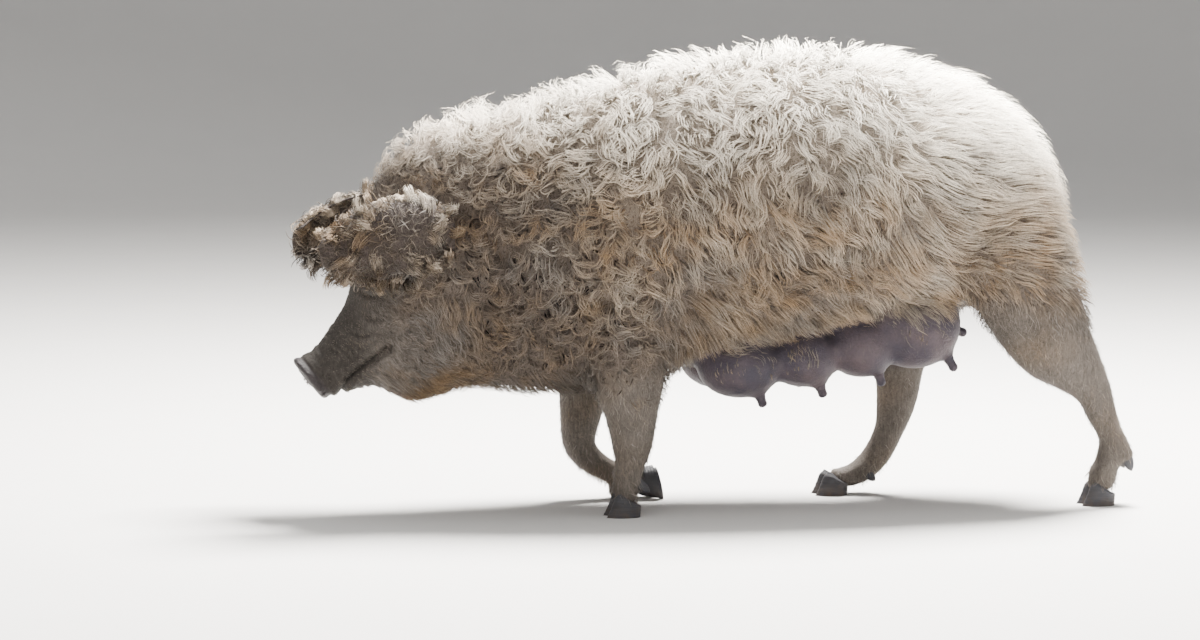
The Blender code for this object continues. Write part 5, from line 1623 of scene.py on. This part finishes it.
def eye_material():
    """A wet brown eye with a dark pupil."""
    finish = Finish("eye", 0.08, Coat_Weight=1.0, Coat_Roughness=0.02)
    front = finish.number("front")
    streaks = finish.noise(finish.place(), 900.0, 3.0)
    iris = finish.mixed(streaks, rgb(0.026, 0.013, 0.007), rgb(0.085, 0.044, 0.020))
    colour = finish.mixed(front.between(0.50, 0.62), rgb(0.045, 0.034, 0.030), iris)
    colour = finish.mixed(front.between(0.915, 0.935), colour, rgb(0.003, 0.003, 0.003))
    finish.set("Base Color", colour)
    return finish.material


def floor_material():
    """A pale matt floor with a faint cloud in it."""
    finish = Finish("floor", 0.9, Specular_IOR_Level=0.1)
    speck = finish.noise(finish.place(), 4.0, 2.0)
    finish.set("Base Color", finish.mixed(speck, rgb(0.49, 0.482, 0.47), rgb(0.51, 0.502, 0.49)))
    return finish.material


# Studio

# Soft round lights: place, what they look at, size, power, colour
LIGHTS = {
    "sun_side": ((1.0, 1.1, 3.8), (0.10, 0.0, 0.6), 1.8, 2800.0, (1.0, 0.97, 0.93)),
    "ceiling": ((0.0, 0.0, 8.4), (0.0, 0.0, 0.0), 14.0, 1250.0, (1.0, 0.99, 0.97)),
    "sky_front": ((-1.5, -4.0, 2.6), (0.0, 0.0, 0.4), 3.0, 80.0, (1.0, 0.98, 0.96)),
    "fill_rear": ((3.5, -2.0, 1.2), (0.3, 0.0, 0.4), 2.0, 30.0, (1.0, 0.98, 0.95)),
}


def studio():
    """A pale round floor that curves up far out on every side, and soft lights."""
    inner, bend, height, sides = 9.0, 5.0, 9.0, 96
    angle = np.linspace(0, math.pi / 2, 16)
    profile = [(inner + bend * math.sin(a), bend - bend * math.cos(a)) for a in angle] + [(inner + bend, height)]
    turn = np.linspace(0, 2 * math.pi, sides, endpoint=False)
    points = np.array([(r * np.cos(turn), r * np.sin(turn), z + 0 * turn) for r, z in profile])
    points = np.vstack([np.moveaxis(points, 1, 2).reshape(-1, 3), [[0.0, 0.0, 0.0]]])
    index = np.arange(len(profile) * sides).reshape(-1, sides)
    turned = np.roll(index, -1, axis=1)
    faces = np.stack([index[:-1], turned[:-1], turned[1:], index[1:]], axis=-1).reshape(-1, 4).tolist()
    faces += [(a, b, len(points) - 1) for a, b in zip(turned[0].tolist(), index[0].tolist())]
    floor = scene_object("floor", bpy.data.meshes.new("floor"))
    floor.data.from_pydata(points.tolist(), [], faces)
    floor.data.flip_normals()
    shade_smooth(floor.data)
    floor.data.materials.append(floor_material())
    for name, (place, target, size, power, colour) in LIGHTS.items():
        data = bpy.data.lights.new(name, "AREA")
        data.shape, data.size, data.energy, data.color = "DISK", size, power, colour
        lamp = scene_object(name, data)
        lamp.location = place
        lamp.rotation_euler = (Vector(target) - Vector(place)).to_track_quat("-Z", "Y").to_euler()
    world = bpy.data.worlds.new("studio")
    world.use_nodes = True
    world.node_tree.nodes["Background"].inputs["Color"].default_value = (0.93, 0.95, 1.0, 1.0)
    world.node_tree.nodes["Background"].inputs["Strength"].default_value = 0.28
    bpy.context.scene.world = world


# Camera: azimuth and elevation in degrees, distance, the photo's middle in its own pixels
AZIMUTH = -10.0
ELEVATION = 5.0
DISTANCE = 7.0
PIXEL = 0.0018
PHOTO_MIDDLE = (-113, 185)
PHOTO_WIDTH = 1200


def camera():
    """The photo's view: level from the side, a little from ahead, with a long lens."""
    a, e = math.radians(AZIMUTH), math.radians(ELEVATION)
    back = Vector((math.sin(a) * math.cos(e), -math.cos(a) * math.cos(e), math.sin(e)))
    right = Vector((math.cos(a), math.sin(a), 0.0))
    up = back.cross(right)
    target = right * (PHOTO_MIDDLE[0] * PIXEL) + up * (PHOTO_MIDDLE[1] * PIXEL) + SHIFT
    data = bpy.data.cameras.new("camera")
    data.sensor_width = 36.0
    data.lens = 36.0 * DISTANCE / (PHOTO_WIDTH * PIXEL)
    data.dof.use_dof = False
    made = scene_object("camera", data)
    turn = Matrix((right, up, back)).transposed().to_4x4()
    made.matrix_world = Matrix.Translation(target + back * DISTANCE) @ turn
    bpy.context.scene.camera = made


def skin_numbers(skin, coat, eyes):
    """The numbers that the skin's material reads at each vertex."""
    points, _ = vertices_of(skin.data)
    pale, tan, dark = markings_and_top_light(points)
    depth, *_ = coat.read(points)
    ahead, _ = snout_place(points)
    lids = [bell(np.linalg.norm(points - eye, axis=1), 0.0, 0.018) for eye, _ in eyes.values()]
    hind = 0.14 * ease(points[:, 0], 0.30, 0.40) * fade(points[:, 2], 0.40, 0.50)
    set_numbers(skin.data, {
        "pale": pale,
        "tan": tan,
        "dark": dark,
        "coated": ease(depth, 0.010, 0.020),
        "head": ease(-points[:, 0], 0.50, 0.56),
        "muzzle": np.max([muzzle_share(points), hind, *lids], axis=0),
        "snout": ease(ahead, -0.020, -0.008) * (points[:, 0] < -0.66),
        "udder": udder_share(points),
        "hollow_shade": hollow_shade_share(points),
    })


def placed(piece, slot, *nodes):
    """Moves a piece into the row's frame, sets its body and hides the CAD nodes it stands for; the slot is not used.
    """
    piece.data.transform(Matrix.Translation(SHIFT))
    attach(piece, "root")
    if nodes:
        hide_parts(*nodes)


def main():
    """Builds the sow, her studio and the camera."""
    random = np.random.default_rng(SEED)
    coat = Coat()
    skin, eyes = grown_skin()
    skin_numbers(skin, coat, eyes)
    skin_look, hair, ear_look, horn = skin_material(), hair_material(), ear_material(), horn_material()
    skin.data.materials.clear()
    skin.data.materials.append(skin_look)
    surface = Surface(skin.data)
    for piece in body_coat(surface, coat, random, hair):
        placed(piece, "fleece")
    for piece in short_coat(surface, coat, random, hair):
        placed(piece, "short_hair")
    for piece in lashes(eyes, random, hair):
        placed(piece, "short_hair")
    for piece in ear_coat(hair):
        placed(piece, "ear_hair")
    placed(tail_coat(random, hair), "fleece")
    flesh = ["snout", "head", "neck", "chest", "belly", "rump", "udder", *LIMBS]
    placed(skin, "short_hair", *flesh)
    for side, word in SIDES:
        placed(ear_flap(word, side, ear_look), "ear_hair", f"ear_{word}")
    placed(teats(skin_look), "udder_skin")
    placed(tail(ear_look), "fleece", "tail")
    for piece, node in claws(horn):
        placed(piece, "horn", node)
    for piece, node in eyeballs(eyes, eye_material()):
        placed(piece, "eye", node)
    studio()
    camera()


main()
